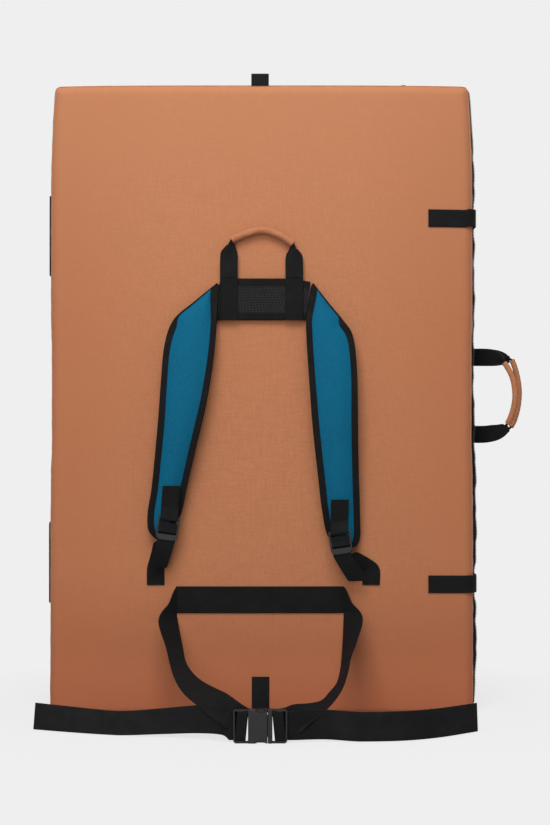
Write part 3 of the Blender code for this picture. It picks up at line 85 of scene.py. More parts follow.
# The straps' edges from the top down: outer x and drop, inner x and drop, as shares of reach and drop
LEFT_STRAP = [
    (-0.388, 0.000, -0.376, 0.006), (-0.590, 0.074, -0.396, 0.130), (-0.765, 0.143, -0.412, 0.235),
    (-0.843, 0.240, -0.438, 0.335), (-0.874, 0.390, -0.487, 0.465), (-0.896, 0.530, -0.536, 0.560),
    (-0.926, 0.670, -0.596, 0.670), (-0.957, 0.797, -0.656, 0.785), (-0.992, 0.890, -0.713, 0.895),
    (-0.990, 0.955, -0.796, 0.950), (-0.946, 0.985, -0.893, 1.000)]
RIGHT_STRAP = [
    (0.450, 0.000, 0.438, 0.010), (0.590, 0.081, 0.399, 0.130), (0.705, 0.143, 0.401, 0.215),
    (0.797, 0.210, 0.412, 0.300), (0.830, 0.350, 0.431, 0.425), (0.836, 0.533, 0.449, 0.533),
    (0.839, 0.643, 0.477, 0.655), (0.848, 0.780, 0.508, 0.775), (0.857, 0.900, 0.537, 0.880),
    (0.860, 0.985, 0.592, 0.985), (0.833, 1.020, 0.737, 1.036)]

# Ladder locks: size, heights of the bars' edges from the middle, and how they hang
LOCK_HIGH, LOCK_DEEP = 32.8 * MM, 4 * MM
LOCK_TOP = LOCK_HIGH / 2
LOCK_BAR_LOW = LOCK_TOP - 3.2 * MM
LOCK_LIP = 8.4 * MM - LOCK_TOP
LOCK_WRAP_LOW = LOCK_LIP + 3.3 * MM
LIP_DEEP = 1.8 * MM
LOCK_OFF, LOCK_TURN = 26 * MM, math.radians(8)

# Waist belt and its buckle. BAND: left end, right end and height of the sewn band. A loop's rows: x as
# a share of the half width, share of the way from the face out to the buckle, height as a share of the
# band's, the three parts of the direction across the belt, and width as a share of the belt's
BAND = (-120.6 * MM, 116.7 * MM, 160 * MM)
BUCKLE_Y, BUCKLE_Z = -273 * MM, 22.3 * MM
BUCKLE_FAR, BUCKLE_DEEP, STRAND = 34.7 * MM, 2.5 * MM, 3.3 * MM
LEFT_LOOP = [
    (-0.400, 0.0045, 1.000, 0.0, 0.0, 1.0, 1.00), (-0.4156, 0.030, 0.9375, -0.40, -0.45, 0.55, 0.55),
    (-0.4355, 0.085, 0.825, -0.68, -0.72, 0.15, 1.0), (-0.402, 0.217, 0.630, -0.55, -0.83, 0.0, 1.0),
    (-0.3665, 0.430, 0.4725, -0.42, -0.83, -0.36, 1.0), (-0.312, 0.600, 0.375, -0.46, -0.77, -0.45, 1.0),
    (-0.2305, 0.780, 0.312, -0.49, -0.63, -0.60, 1.0), (-0.155, 0.925, 0.255, -0.40, -0.15, -0.90, 1.0)]
RIGHT_LOOP = [
    (0.387, 0.0045, 1.000, 0.0, 0.0, 1.0, 1.00), (0.4065, 0.030, 0.9375, 0.40, -0.45, 0.55, 0.55),
    (0.428, 0.085, 0.866, 0.67, -0.73, -0.05, 1.0), (0.410, 0.197, 0.690, 0.50, -0.86, 0.05, 1.0),
    (0.389, 0.330, 0.563, 0.31, -0.94, 0.1, 1.0), (0.375, 0.470, 0.477, 0.25, -0.96, 0.1, 1.0),
    (0.352, 0.615, 0.386, 0.19, -0.97, 0.0, 1.0), (0.314, 0.745, 0.320, 0.17, -0.97, -0.12, 1.0),
    (0.266, 0.845, 0.256, 0.06, -0.96, -0.26, 1.0), (0.200, 0.905, 0.212, 0.12, -0.80, -0.58, 1.0)]
# A tail's rows: x as a share of its end's, share of the way out to the buckle, height off the floor in
# mm, and lean back in degrees
LEFT_TAIL = [(0.165, 0.935, 8, 14), (0.27, 0.846, 7, 27), (0.43, 0.765, 3, 38), (0.62, 0.720, 0, 44),
             (0.82, 0.640, 0, 38), (1.0, 0.550, 0, 31)]
RIGHT_TAIL = [(0.29, 0.940, 2, 9), (0.45, 0.955, 0, 12), (0.64, 0.928, 0, 13), (0.81, 0.830, 0, 13),
              (1.0, 0.635, 0, 17)]
# How far each load strand comes in above the buckle's middle
LEFT_RISE, RIGHT_RISE = 14 * MM, 5 * MM

HANDLE_HEIGHT, LEG_ASIDE = 450.5 * MM, 46.4 * MM
# Handles, from root to root: reach, place along the spread and width of the webbing
TOP_HANDLE = [(0, -1, 1), (0.44, -0.995, 1), (0.57, -0.965, 0.84), (0.69, -0.93, 0.44),
              (0.80, -0.90, 0.14), (0.930, -0.474, 0.14), (1.006, 0.034, 0.14), (0.915, 0.494, 0.14),
              (0.725, 0.945, 0.14), (0.61, 0.965, 0.44), (0.50, 0.98, 0.84), (0.37, 0.995, 1), (0, 1, 1)]
HARNESS_HANDLE = [(0, 1, 1), (0.36, 1, 1), (0.58, 0.975, 0.92), (0.71, 0.915, 0.6),
                  (0.80, 0.826, 0.2), (0.95, 0.46, 0.2), (1, 0.065, 0.2), (0.97, -0.33, 0.2),
                  (0.857, -0.70, 0.2), (0.74, -0.85, 0.6), (0.58, -0.95, 0.92), (0.36, -1, 1), (0, -1, 1)]
BACK_HANDLE = [(0, 1, 1), (0.36, 1, 1), (0.60, 0.99, 0.92), (0.76, 0.96, 0.6),
               (0.87, 0.915, 0.2), (0.965, 0.5, 0.2), (1, 0.065, 0.2), (0.965, -0.37, 0.2),
               (0.86, -0.788, 0.2), (0.74, -0.88, 0.6), (0.58, -0.955, 0.92), (0.36, -1, 1), (0, -1, 1)]


# ---- arrays of points

def unit(v):
    return v / np.maximum(np.linalg.norm(v, axis=-1, keepdims=True), 1e-12)


def stacked(*coordinates):
    """Points from their coordinates, which are spread over each other."""
    return np.stack(np.broadcast_arrays(*coordinates), -1)


def through(rows, steps):
    """Cubic curve through the given rows of numbers, with so many steps to a span."""
    rows = np.asarray(rows, float)
    line = np.vstack([2 * rows[0] - rows[1], rows, 2 * rows[-1] - rows[-2]])
    t = (np.arange(steps) / steps)[None, :, None]
    a, b, c, d = (line[i:len(line) - 3 + i, None, :] for i in range(4))
    bend = (2 * a - 5 * b + 4 * c - d) * t * t + (3 * b - a - 3 * c + d) * t ** 3
    return np.vstack([(b + 0.5 * ((c - a) * t + bend)).reshape(-1, rows.shape[1]), rows[-1:]])


def length(path):
    """Distance run along a path at each of its points."""
    return np.concatenate([[0], np.cumsum(np.linalg.norm(np.diff(path, axis=0), axis=1))])


def sample(at, run, rows):
    """Rows read off at given distances run along a path."""
    return np.stack([np.interp(at, run, column) for column in rows.T], 1)


def even(rows, gap):
    """Rows spread evenly along the path that their first three numbers follow."""
    rows = np.asarray(rows, float)
    run = length(rows[:, :3])
    return sample(np.linspace(0, run[-1], max(2, int(run[-1] / gap) + 1)), run, rows)


def travel(path):
    """Unit direction of a path at each point, from the point before to the point after."""
    ahead = np.vstack([path[1:], path[-1:]])
    behind = np.vstack([path[:1], path[:-1]])
    return unit(ahead - behind)


def circle(side, top, count):
    """Directions round each point of a path, turning from side towards top."""
    turn = TAU * np.arange(count) / count
    top = np.broadcast_to(top, side.shape)
    return side[:, None] * np.cos(turn)[:, None] + top[:, None] * np.sin(turn)[:, None]


def ripple(x, *waves):
    """Sum of sines, each given as (height, length of the wave, shift)."""
    return sum(h * np.sin(TAU * x / w + s) for h, w, s in waves)


def slack(x, z):
    """How far the outer cloth lies in from full: broad shallow hollows that fade out at the rim."""
    u, v = x / HALF_WIDTH, 2 * z / PAD_HEIGHT - 1
    rim = np.clip(1 - u ** 4, 0, 1) * np.clip(1 - v ** 4, 0, 1)
    waves = 0.5 + 0.27 * np.sin(5.1 * u + 2.3 * v + 0.6) + 0.23 * np.sin(6.3 * v - 3.1 * u + 1.9)
    return 1.3 * MM * rim * waves


def ease(x, low, high):
    """Smooth step from 0 at low to 1 at high."""
    t = np.clip((x - low) / (high - low), 0, 1)
    return t * t * (3 - 2 * t)


def squared(x, z):
    """Corners of the outline filled out: a circle's quarter becomes a squarer curve."""
    end = np.maximum(0, np.abs(x) - (HALF_WIDTH - ROUNDING))
    cap = np.maximum(0, np.abs(z - PAD_HEIGHT / 2) - (PAD_HEIGHT / 2 - ROUNDING))
    power = (end ** SQUARE + cap ** SQUARE) ** (1 / SQUARE)
    grow = np.where(power > 1e-9, np.hypot(end, cap) / np.maximum(power, 1e-9), 1.0) - 1
    return x + np.sign(x) * end * grow, z + np.sign(z - PAD_HEIGHT / 2) * cap * grow


def narrowing(z):
    """How far the sides come in: drawn in at the top, slumped out lower down but beside the handles."""
    top = TOP_DRAW * np.clip(2 * z / PAD_HEIGHT - 1, 0, 1) ** 8
    slump = 1.2 * MM * ease(z, -15 * MM, 30 * MM) * (1 - ease(z, 760 * MM, 880 * MM))
    slump = slump * ease(np.abs(z - 450 * MM), 70 * MM, 110 * MM)
    return top - slump - 0.8 * MM * ease(z, -15 * MM, 40 * MM) * (1 - ease(z, 250 * MM, 370 * MM))


def foot(y, z):
    """How far the cloth comes forward at the floor: a squarer edge, and the filling slumped over it."""
    low = np.clip(1 - z / ROUNDING, 0, 1)
    square = ROUNDING * ((1 - low ** SQUARE) ** (1 / SQUARE) - np.sqrt(1 - low ** 2))
    front = np.clip((LANDING - y) / (LANDING - FACE), 0, 1)
    return square * ease(-y, 20 * MM, 33 * MM) + 9 * MM * front ** 2 * (1 - ease(z, 0, 90 * MM))


def soft(p, loose=1.0):
    """Place on the filled pad of points on the plain block: crown, drawn-in seams, taper, slack."""
    y = p[..., 1]
    x, z = squared(p[..., 0], p[..., 2])
    rise = np.clip(2 * z / PAD_HEIGHT - 1, -1, 1)
    deep = np.clip(y / LANDING, -1, 1)
    seam = SEAM_DRAW * deep ** 2
    aside = np.minimum(1, np.abs(x) / HALF_WIDTH)
    sag = CROWN * (1 - (1 - aside ** 2) * (1 - rise ** 2))
    front = (1 - deep) / 2
    lift = TOP_RIDGE * ease(-y, 26 * MM, 38 * MM) * ease(z, PAD_HEIGHT - 60 * MM, PAD_HEIGHT - ROUNDING)
    return stacked(x * (1 - (narrowing(z) + seam) / HALF_WIDTH),
                   y + sag * front ** 2 + loose * slack(x, z) * front ** 4 - foot(y, z),
                   z * (1 - (TOP_SAG * aside ** 4 + seam) / PAD_HEIGHT) + lift)


def on_face(x, z, off, loose=1.0):
    """Place at x and z, so far in front of the crowned outer face."""
    x, z, off = np.broadcast_arrays(np.asarray(x, float), z, off)
    high = z / (1 - SEAM_DRAW / PAD_HEIGHT)
    aside = x / (1 - (narrowing(high) + SEAM_DRAW) / HALF_WIDTH)
    return soft(stacked(aside, FACE - off, high), loose)


def behind(p):
    """The same place on the back half, which mirrors the harness half."""
    return p * [1, -1, 1] + [0, 2 * FOLD, 0]


def stay(p):
    return p


HALVES = (("harness", stay, "harness_half"), ("back", behind, "back_half"))


# ---- meshes

def make(name, points, faces, uv, mat, angle=40):
    """A mesh from points, faces and each corner's place on the cloth, in metres."""
    mesh = bpy.data.meshes.new(name)
    mesh.from_pydata(points, [], faces)
    mesh.uv_layers.new(name="cloth").data.foreach_set("uv", np.asarray(uv, np.float32).ravel())
    bm = bmesh.new()
    bm.from_mesh(mesh)
    bmesh.ops.remove_doubles(bm, verts=bm.verts, dist=1e-6)
    bmesh.ops.recalc_face_normals(bm, faces=bm.faces)
    bm.to_mesh(mesh)
    bm.free()
    mesh.materials.append(mat)
    mesh.shade_smooth()
    mesh.set_sharp_from_angle(angle=math.radians(angle))
    obj = bpy.data.objects.new(name, mesh)
    bpy.context.scene.collection.objects.link(obj)
    return obj


def wear(obj, body, slot, *nodes):
    """Hangs a piece on its body and hides the solids it stands for."""
    if body:
        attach(obj, body)
    if nodes:
        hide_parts(*nodes)
    return obj


def quads(rows, columns, wrap):
    """Corner numbers of the faces of a grid, whose columns may run round to the first again."""
    i, j = np.meshgrid(np.arange(rows - 1), np.arange(columns if wrap else columns - 1), indexing="ij")
    k = (j + 1) % columns
    return np.stack([i * columns + j, i * columns + k, (i + 1) * columns + k, (i + 1) * columns + j],
                    -1).reshape(-1, 4)


def skin(name, rings, along, around, mat, caps=True, angle=40):
    """Skin over closed rings (n, m, 3). along (n,) and around (n, m + 1) place it on its cloth."""
    n, m = rings.shape[:2]
    around = np.broadcast_to(around, (n, m + 1))
    uv = stacked(around, along[:, None])
    corners = np.stack([uv[:-1, :-1], uv[:-1, 1:], uv[1:, 1:], uv[1:, :-1]], 2).reshape(-1, 2)
    faces = quads(n, m, True).tolist()
    if caps:
        faces += [list(range(m)), list(range((n - 1) * m, n * m))]
        corners = np.vstack([corners, uv[0, :-1], uv[-1, :-1]])
    return make(name, rings.reshape(-1, 3), faces, corners, mat, angle)


ACROSS = np.array([-1, -0.985, -0.93, -0.7, -0.35, 0, 0.35, 0.7, 0.93, 0.985, 1])
RIM = np.array([0.25, 0.7, 1, 1, 1, 1, 1, 1, 1, 0.7, 0.25])


def sheet(name, front, back, along, across, mat, angle=40):
    """Skin over a thin sheet: its front, its back, and each point's place across it."""
    across = np.broadcast_to(across, front.shape[:2])
    around = np.concatenate([across, across[:, ::-1], across[:, :1]], 1)
    return skin(name, np.concatenate([front, back[:, ::-1]], 1), along, around, mat, angle=angle)


def ribbon(name, centres, across, widths, thickness, mat=None):
    """Flat webbing, black where no finish is named: a thin rounded section carried along a path."""
    side = np.broadcast_to(unit(np.asarray(across, float)), centres.shape)
    up = unit(np.cross(travel(centres), side))
    offset = ACROSS * np.broadcast_to(widths, len(centres))[:, None] / 2
    middle = centres[:, None] + side[:, None] * offset[..., None]
    rise = up[:, None] * (RIM * thickness / 2)[:, None]
    return sheet(name, middle + rise, middle - rise, length(centres), offset, mat or webbing, 50)


def tube(name, centres, radius, sides, mat):
    """Round ridge along a closed path that keeps to one depth."""
    way = travel(centres)
    side = unit(np.cross(way, (0, 1.0, 0)))
    rings = centres[:, None] + circle(side, np.cross(side, way), sides) * radius
    around = radius * TAU * np.arange(sides + 1) / sides
    return skin(name, rings, length(centres), around, mat, caps=False, angle=60)


def edge_lines(low, high, cells, steps, square_end=False):
    """Lines across a block's side, closer together where its edges are rounded."""
    near = ROUNDING * (1 - np.tan(math.pi / 4 * (1 - np.arange(steps) / steps)))
    end = high if square_end else high - ROUNDING
    flat = np.linspace(low + ROUNDING, end, cells + 1)
    return np.concatenate([low + near, flat] if square_end else [low + near, flat, high - near[::-1]])


def block(name, lines, low, high, place, swell, mat):
    """Filled block from lines on its three axes: rounded edges, then the soft shape of the pad.

    swell moves a point along its outward direction, by where it is on the plain block."""
    points, faces, corners, count = [], [], [], 0
    for axis in range(3):
        one, two = [i for i in range(3) if i != axis]
        for end in (0, -1):
            a, b = np.meshgrid(lines[one], lines[two], indexing="ij")
            p = np.zeros(a.shape + (3,))
            p[..., one], p[..., two], p[..., axis] = a, b, lines[axis][end]
            core = np.clip(p, np.array(low) + ROUNDING, [high[0] - ROUNDING, high[1], high[2] - ROUNDING])
            away = unit(p - core)
            out = core + away * ROUNDING * (np.linalg.norm(p - core, axis=-1, keepdims=True) > 1e-9)
            out = soft(out) + away * swell(p)[..., None]
            out[..., 2] = np.maximum(out[..., 2], 0)
            face = quads(*a.shape, False)
            flat = stacked(a, b).reshape(-1, 2)
            points.append(place(out).reshape(-1, 3))
            faces.append(face + count)
            corners.append(flat[face].reshape(-1, 2))
            count += a.size
    return make(name, np.vstack(points), np.vstack(faces).tolist(), np.vstack(corners), mat, 60)


BEAD = np.array([(-0.5, 0.2), (-0.36, 0.85), (0, 1), (0.36, 0.85), (0.5, 0.2)])


def stitches(name, lines, body, mat=None, slot="webbing", pitch=3.2 * MM, out=(0, -1.0, 0)):
    """Sewing thread: a bead for each stitch, half sunk in the cloth, along lines of points."""
    lines = [even(line, pitch) for line in lines]
    middles = np.vstack([(line[1:] + line[:-1]) / 2 for line in lines])
    ways = np.vstack([unit(line[1:] - line[:-1]) for line in lines])
    side = unit(np.cross(ways, out))
    rounds, sides = len(BEAD), 6
    ring = circle(side, np.cross(side, ways) * 0.7, sides)
    reach, fat = BEAD[:, 0] * pitch * 0.82, BEAD[:, 1] * THREAD
    p = middles[:, None, None] + ways[:, None, None] * reach[:, None, None]
    p = p + ring[:, None] * fat[:, None, None]
    first = (np.arange(len(middles)) * rounds * sides)[:, None]
    faces = (quads(rounds, sides, True) + first[..., None]).reshape(-1, 4).tolist()
    for end in (0, (rounds - 1) * sides):
        faces += (np.arange(sides) + end + first).tolist()
    uv = np.zeros((sum(map(len, faces)), 2))
    return wear(make(name, p.reshape(-1, 3), faces, uv, mat or black_thread, 80), body, slot)


# ---- finishes

def add(tree, kind, values=None, **settings):
    """A node with its settings; values go to its inputs, linked where they are sockets."""
    made = tree.nodes.new("ShaderNode" + kind)
    for key, value in settings.items():
        setattr(made, key, value)
    for key, value in (values or {}).items():
        if isinstance(value, bpy.types.NodeSocket):
            tree.links.new(value, made.inputs[key])
        else:
            made.inputs[key].default_value = value
    return made


def calc(tree, operation, a, b=0.0):
    """Output of a node of arithmetic; a and b are numbers or sockets."""
    return add(tree, "Math", {0: a, 1: b}, operation=operation).outputs[0]


def plus(tree, a, b):
    return calc(tree, "ADD", a, b)


def times(tree, a, b):
    return calc(tree, "MULTIPLY", a, b)


def wave(tree, along, pitch):
    return calc(tree, "SINE", times(tree, along, TAU / pitch))


def ramp(tree, value, low, high, to_low=0.0, to_high=1.0):
    return add(tree, "MapRange", {0: value, 1: low, 2: high, 3: to_low, 4: to_high}).outputs[0]


def mix(tree, share, one, two):
    return add(tree, "Mix", {0: share, 6: one, 7: two}, data_type="RGBA").outputs[2]


def own_place(tree):
    """The object's own coordinates, in metres."""
    return add(tree, "TexCoord").outputs["Object"]


def noise(tree, scale, detail, stretch=None):
    """Cloudy pattern on object coordinates, stretched along its axes where asked."""
    place = own_place(tree)
    if stretch:
        place = add(tree, "Mapping", {"Vector": place, "Scale": stretch}).outputs[0]
    return add(tree, "TexNoise", {"Vector": place, "Scale": scale, "Detail": detail}).outputs[0]


def screen(*colour):
    """Linear colour of an 8-bit screen colour."""
    return *(c / 3294.6 if c <= 10 else ((c / 255 + 0.055) / 1.055) ** 2.4 for c in colour), 1.0


def shade(colour, level):
    return tuple(c * level for c in colour[:3]) + (1.0,)


def levels(tree, value, low, high, colour, dark, light):
    """A colour between two levels of itself, as a value goes from low to high."""
    return mix(tree, ramp(tree, value, low, high), shade(colour, dark), shade(colour, light))


def veil(tree, tone, value, low, high, share, over):
    """Lays another colour over a tone, up to a share, as a value goes from low to high."""
    return mix(tree, ramp(tree, value, low, high, 0.0, share), tone, over)


def finish(name, colour, rough, sheen=0.0, metal=0.0, specular=0.5):
    mat = bpy.data.materials.new(name)
    mat.use_nodes = True
    shader = mat.node_tree.nodes["Principled BSDF"]
    for key, value in (("Base Color", colour), ("Roughness", rough), ("Metallic", metal),
                       ("Sheen Weight", sheen), ("Specular IOR Level", specular)):
        shader.inputs[key].default_value = value
    return mat, mat.node_tree


def connect(mat, tone, rough=None, relief=None):
    """Links a finish's colour, varying roughness, and relief as (height, strength, distance)."""
    tree, shader = mat.node_tree, mat.node_tree.nodes["Principled BSDF"]
    tree.links.new(tone, shader.inputs["Base Color"])
    if rough is not None:
        tree.links.new(rough, shader.inputs["Roughness"])
    if relief:
        made = add(tree, "Bump", dict(zip(("Height", "Strength", "Distance"), relief)))
        tree.links.new(made.outputs[0], shader.inputs["Normal"])
    return mat


def cloth_place(tree):
    """The two coordinates on the cloth, in metres."""
    split = add(tree, "SeparateXYZ", {0: add(tree, "UVMap", uv_map="cloth").outputs[0]})
    return split.outputs[0], split.outputs[1]


def canvas_finish(name, colour, graded):
    """Plain woven canvas with uneven yarns; where asked, painted shade low down and towards the sides,
    and painted light towards the top.
    """
    mat, tree = finish(name, colour, 0.86, sheen=0.12, specular=0.3)
    u, v = cloth_place(tree)
    weave = times(tree, wave(tree, u, 1.1 * MM), wave(tree, v, 1.1 * MM))
    slubs = plus(tree, noise(tree, 420, 3, (1, 1, 0.14)), noise(tree, 420, 3, (0.14, 1, 1)))
    grain, cloudy = noise(tree, 360, 5), noise(tree, 7, 3)
    tone = levels(tree, slubs, 0.7, 1.3, colour, 0.90, 1.10)
    tone = veil(tree, tone, grain, 0.3, 0.7, 0.6, shade(colour, 0.80))
    tone = veil(tree, tone, cloudy, 0.35, 0.7, 0.25, shade(colour, 1.08))
    if graded:
        place = add(tree, "SeparateXYZ", {0: own_place(tree)})
        height, aside = place.outputs[2], calc(tree, "ABSOLUTE", place.outputs[0])
        # Painted light and shade on the cover: darker towards the sides and the bottom, paler towards the
        # top
        for where, start, end, share, tint in (
                # painted shade towards the sides, where the face turns away from the lamps
                (aside, 0.13, 0.27, 0.75, (0.88, 0.80, 0.76)),
                # painted shade towards the bottom
                (height, 0.21, 0.02, 0.95, (0.80, 0.62, 0.58)),
                # painted light towards the top
                (height, 0.55, 0.88, 0.6, (0.97, 1.04, 1.06))):
            tinted = tuple(c * t for c, t in zip(colour, tint)) + (1.0,)
            tone = veil(tree, tone, where, start, end, share, tinted)
    height = plus(tree, times(tree, weave, 0.3), plus(tree, grain, slubs))
    return connect(mat, tone, ramp(tree, cloudy, 0.3, 0.7, 0.8, 0.92), (height, 0.3, 0.2 * MM))


def webbing_finish(name, colour, ribs, gloss):
    """Woven tape: ribs along its length, crossed by a slanting twill, paler where it rubs."""
    mat, tree = finish(name, colour, gloss, specular=0.12)
    u, v = cloth_place(tree)
    twill = wave(tree, plus(tree, v, times(tree, calc(tree, "ABSOLUTE", u), 1.2)), 1.5 * MM)
    height = plus(tree, times(tree, wave(tree, u, ribs), 0.8), times(tree, twill, 0.6))
    rub = noise(tree, 55, 3)
    # Painted light and shade: the raised ribs and twill paler and the hollows between them darker,
    # following the relief
    tone = levels(tree, height, -1.2, 1.4, colour, 0.75, 1.35)
    tone = veil(tree, tone, rub, 0.45, 0.8, 0.3, shade(colour, 1.9))
    rough = ramp(tree, rub, 0.3, 0.7, gloss - 0.08, gloss + 0.12)
    return connect(mat, tone, rough, (height, 0.3, 0.2 * MM))


def strap_finish():
    """Fine twill of the straps, with a faint cloudiness and paler crossing yarns."""
    colour = (0.0032, 0.113, 0.208, 1.0)
    mat, tree = finish("petrol_blue_twill", colour, 0.8, specular=0.1)
    twill = wave(tree, plus(tree, *cloth_place(tree)), 1.3 * MM)
    yarn = noise(tree, 420, 2)
    tone = levels(tree, yarn, 0.3, 0.7, colour, 0.84, 1.14)
    tone = veil(tree, tone, noise(tree, 18, 2), 0.35, 0.7, 0.3, shade(colour, 1.2))
    return connect(mat, tone, relief=(plus(tree, twill, yarn), 0.3, 0.25 * MM))


def mesh_finish():
    """Knitted spacer mesh: zigzag strands between dark cells, with small pale crossings."""
    mat, tree = finish("black_spacer_mesh", (0.009, 0.009, 0.010, 1), 0.85, specular=0.15)
    u, v = cloth_place(tree)
    slant = times(tree, calc(tree, "PINGPONG", calc(tree, "DIVIDE", v, 4.1 * MM), 0.5), 1.7)
    row = calc(tree, "FRACT", plus(tree, calc(tree, "DIVIDE", u, 3.6 * MM), slant))
    strand = ramp(tree, calc(tree, "ABSOLUTE", calc(tree, "SUBTRACT", row, 0.5)), 0.08, 0.24, 1.0, 0.0)
    dots = times(tree, strand, ramp(tree, wave(tree, v, 2.05 * MM), -0.4, 0.5))
    crossings = times(tree, dots, ramp(tree, noise(tree, 900, 2), 0.3, 0.6, 0.5, 1.0))
    tone = mix(tree, strand, (0.003, 0.003, 0.0035, 1), (0.0085, 0.0083, 0.009, 1))
    tone = mix(tree, crossings, tone, (0.105, 0.103, 0.106, 1))
    return connect(mat, tone, relief=(plus(tree, strand, dots), 0.5, 0.5 * MM))


def coated_finish():
    """Hard-wearing dark landing cloth: a fine basket weave under a slightly shiny coating."""
    mat, tree = finish("dark_landing_cloth", (0.02, 0.02, 0.022, 1), 0.55, specular=0.4)
    u, v = cloth_place(tree)
    weave = times(tree, wave(tree, u, 1.6 * MM), wave(tree, v, 1.6 * MM))
    scuff = noise(tree, 30, 4)
    tone = mix(tree, ramp(tree, scuff, 0.4, 0.75), (0.017, 0.017, 0.019, 1), (0.032, 0.032, 0.034, 1))
    return connect(mat, tone, ramp(tree, scuff, 0.3, 0.7, 0.45, 0.7), (weave, 0.35, 0.25 * MM))


def pile_finish(name, colour, scale):
    """Hook or loop face: a dense, uneven nap."""
    mat, tree = finish(name, colour, 0.95, sheen=0.3, specular=0.1)
    nap = noise(tree, scale, 4)
    return connect(mat, levels(tree, nap, 0.3, 0.7, colour, 0.45, 1.9), relief=(nap, 0.9, 0.8 * MM))


def foam_finish(name, colour, scale):
    """Cut foam: cells of several sizes."""
    mat, tree = finish(name, colour, 0.9, specular=0.2)
    place = own_place(tree)
    cells = add(tree, "TexVoronoi", {"Vector": place, "Scale": scale}).outputs["Distance"]
    # Painted shade: the hollows of the cells darker, following the relief
    return connect(mat, levels(tree, cells, 0.1, 0.6, colour, 0.7, 1), relief=(cells, 0.6, 0.6 * MM))


def moulded_finish(name, colour, rough, metal=0.0):
    """Moulded plastic or cast metal: a fine spark grain, a little polished where it is handled."""
    mat, tree = finish(name, colour, rough, metal=metal, specular=0.38)
    spark, polish = noise(tree, 1800, 2), noise(tree, 60, 3)
    return connect(mat, levels(tree, polish, 0.35, 0.75, colour, 0.85, 1.35),
                   ramp(tree, polish, 0.35, 0.7, rough - 0.08, rough + 0.12), (spark, 0.25, 0.08 * MM))


def thread_finish(name, colour):
    """Twisted sewing thread."""
    mat, tree = finish(name, colour, 0.75, specular=0.15)
    return connect(mat, levels(tree, noise(tree, 1500, 1), 0.3, 0.7, colour, 0.7, 1.3))


BROWN = screen(188, 122, 84)
# The cover canvas carries painted shade and light; the grip canvas does not
canvas = canvas_finish("brown_canvas", BROWN, True)
grip_canvas = canvas_finish("brown_grip_canvas", shade(BROWN, 0.92), False)
webbing = webbing_finish("black_webbing", (0.0048, 0.0046, 0.0048, 1), 2.2 * MM, 0.7)
belt_webbing = webbing_finish("black_belt_webbing", (0.0046, 0.0044, 0.0047, 1), 3.1 * MM, 0.7)
tape = webbing_finish("black_binding_tape", (0.0050, 0.0048, 0.0052, 1), 1.3 * MM, 0.75)
strap_cloth = strap_finish()
spacer = mesh_finish()
coated = coated_finish()
pile = pile_finish("loop_pile", (0.012, 0.012, 0.012, 1), 600)
hook = pile_finish("hook_face", (0.016, 0.016, 0.016, 1), 1100)
foam = foam_finish("open_cell_foam", screen(222, 214, 190), 380)
board = foam_finish("closed_cell_foam", screen(90, 92, 96), 700)
plastic = moulded_finish("black_moulded_plastic", (0.0078, 0.0074, 0.0086, 1), 0.46)
metal = moulded_finish("dark_slider_metal", (0.05, 0.05, 0.053, 1), 0.35, 0.8)
black_thread = thread_finish("black_thread", (0.0078, 0.0075, 0.0078, 1))
brown_thread = thread_finish("brown_thread", shade(BROWN, 0.55))


def dress(mat, *nodes):
    """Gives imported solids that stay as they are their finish."""
    for node in nodes:
        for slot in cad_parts[node].material_slots:
            slot.material = mat


# ---- pad halves

def pucker(p):
    """Gathers beside the sewn edges: small waves along each seam that soon die out."""
    x, y, z = p[..., 0], p[..., 1], p[..., 2]
    side, cap = HALF_WIDTH - np.abs(x), np.minimum(z, PAD_HEIGHT - z)
    front = np.clip(y - SEAM_Y, 0, 1)
    out = 0
    for near, along, shift in ((side, z, 0.0), (cap, x, 1.3)):
        wavy = ripple(along + shift, (0.55, 0.031, shift), (0.3, 0.0173, 2.1), (0.45, 0.083, 0.4))
        for beside, reach, high in ((front, 0.015, 0.30), (LANDING - y, 0.013, 0.25)):
            out = out + wavy * np.exp(-(np.hypot(near, beside) / reach) ** 2) * high * MM
    return out


def flat(p):
    return 0 * p[..., 0]


def dimple(p):
    """Landing cloth drawn in over its whole width: shallow hollows, none at the rim."""
    side, cap = HALF_WIDTH - np.abs(p[..., 0]), np.minimum(p[..., 2], PAD_HEIGHT - p[..., 2])
    rim = np.clip(np.minimum(side, cap) / 0.08, 0, 1)
    hollows = ripple(p[..., 0], (0.12, 0.21, 0.3)) + ripple(p[..., 2], (0.14, 0.27, 1.1))
    return -rim * (0.35 + hollows) * MM


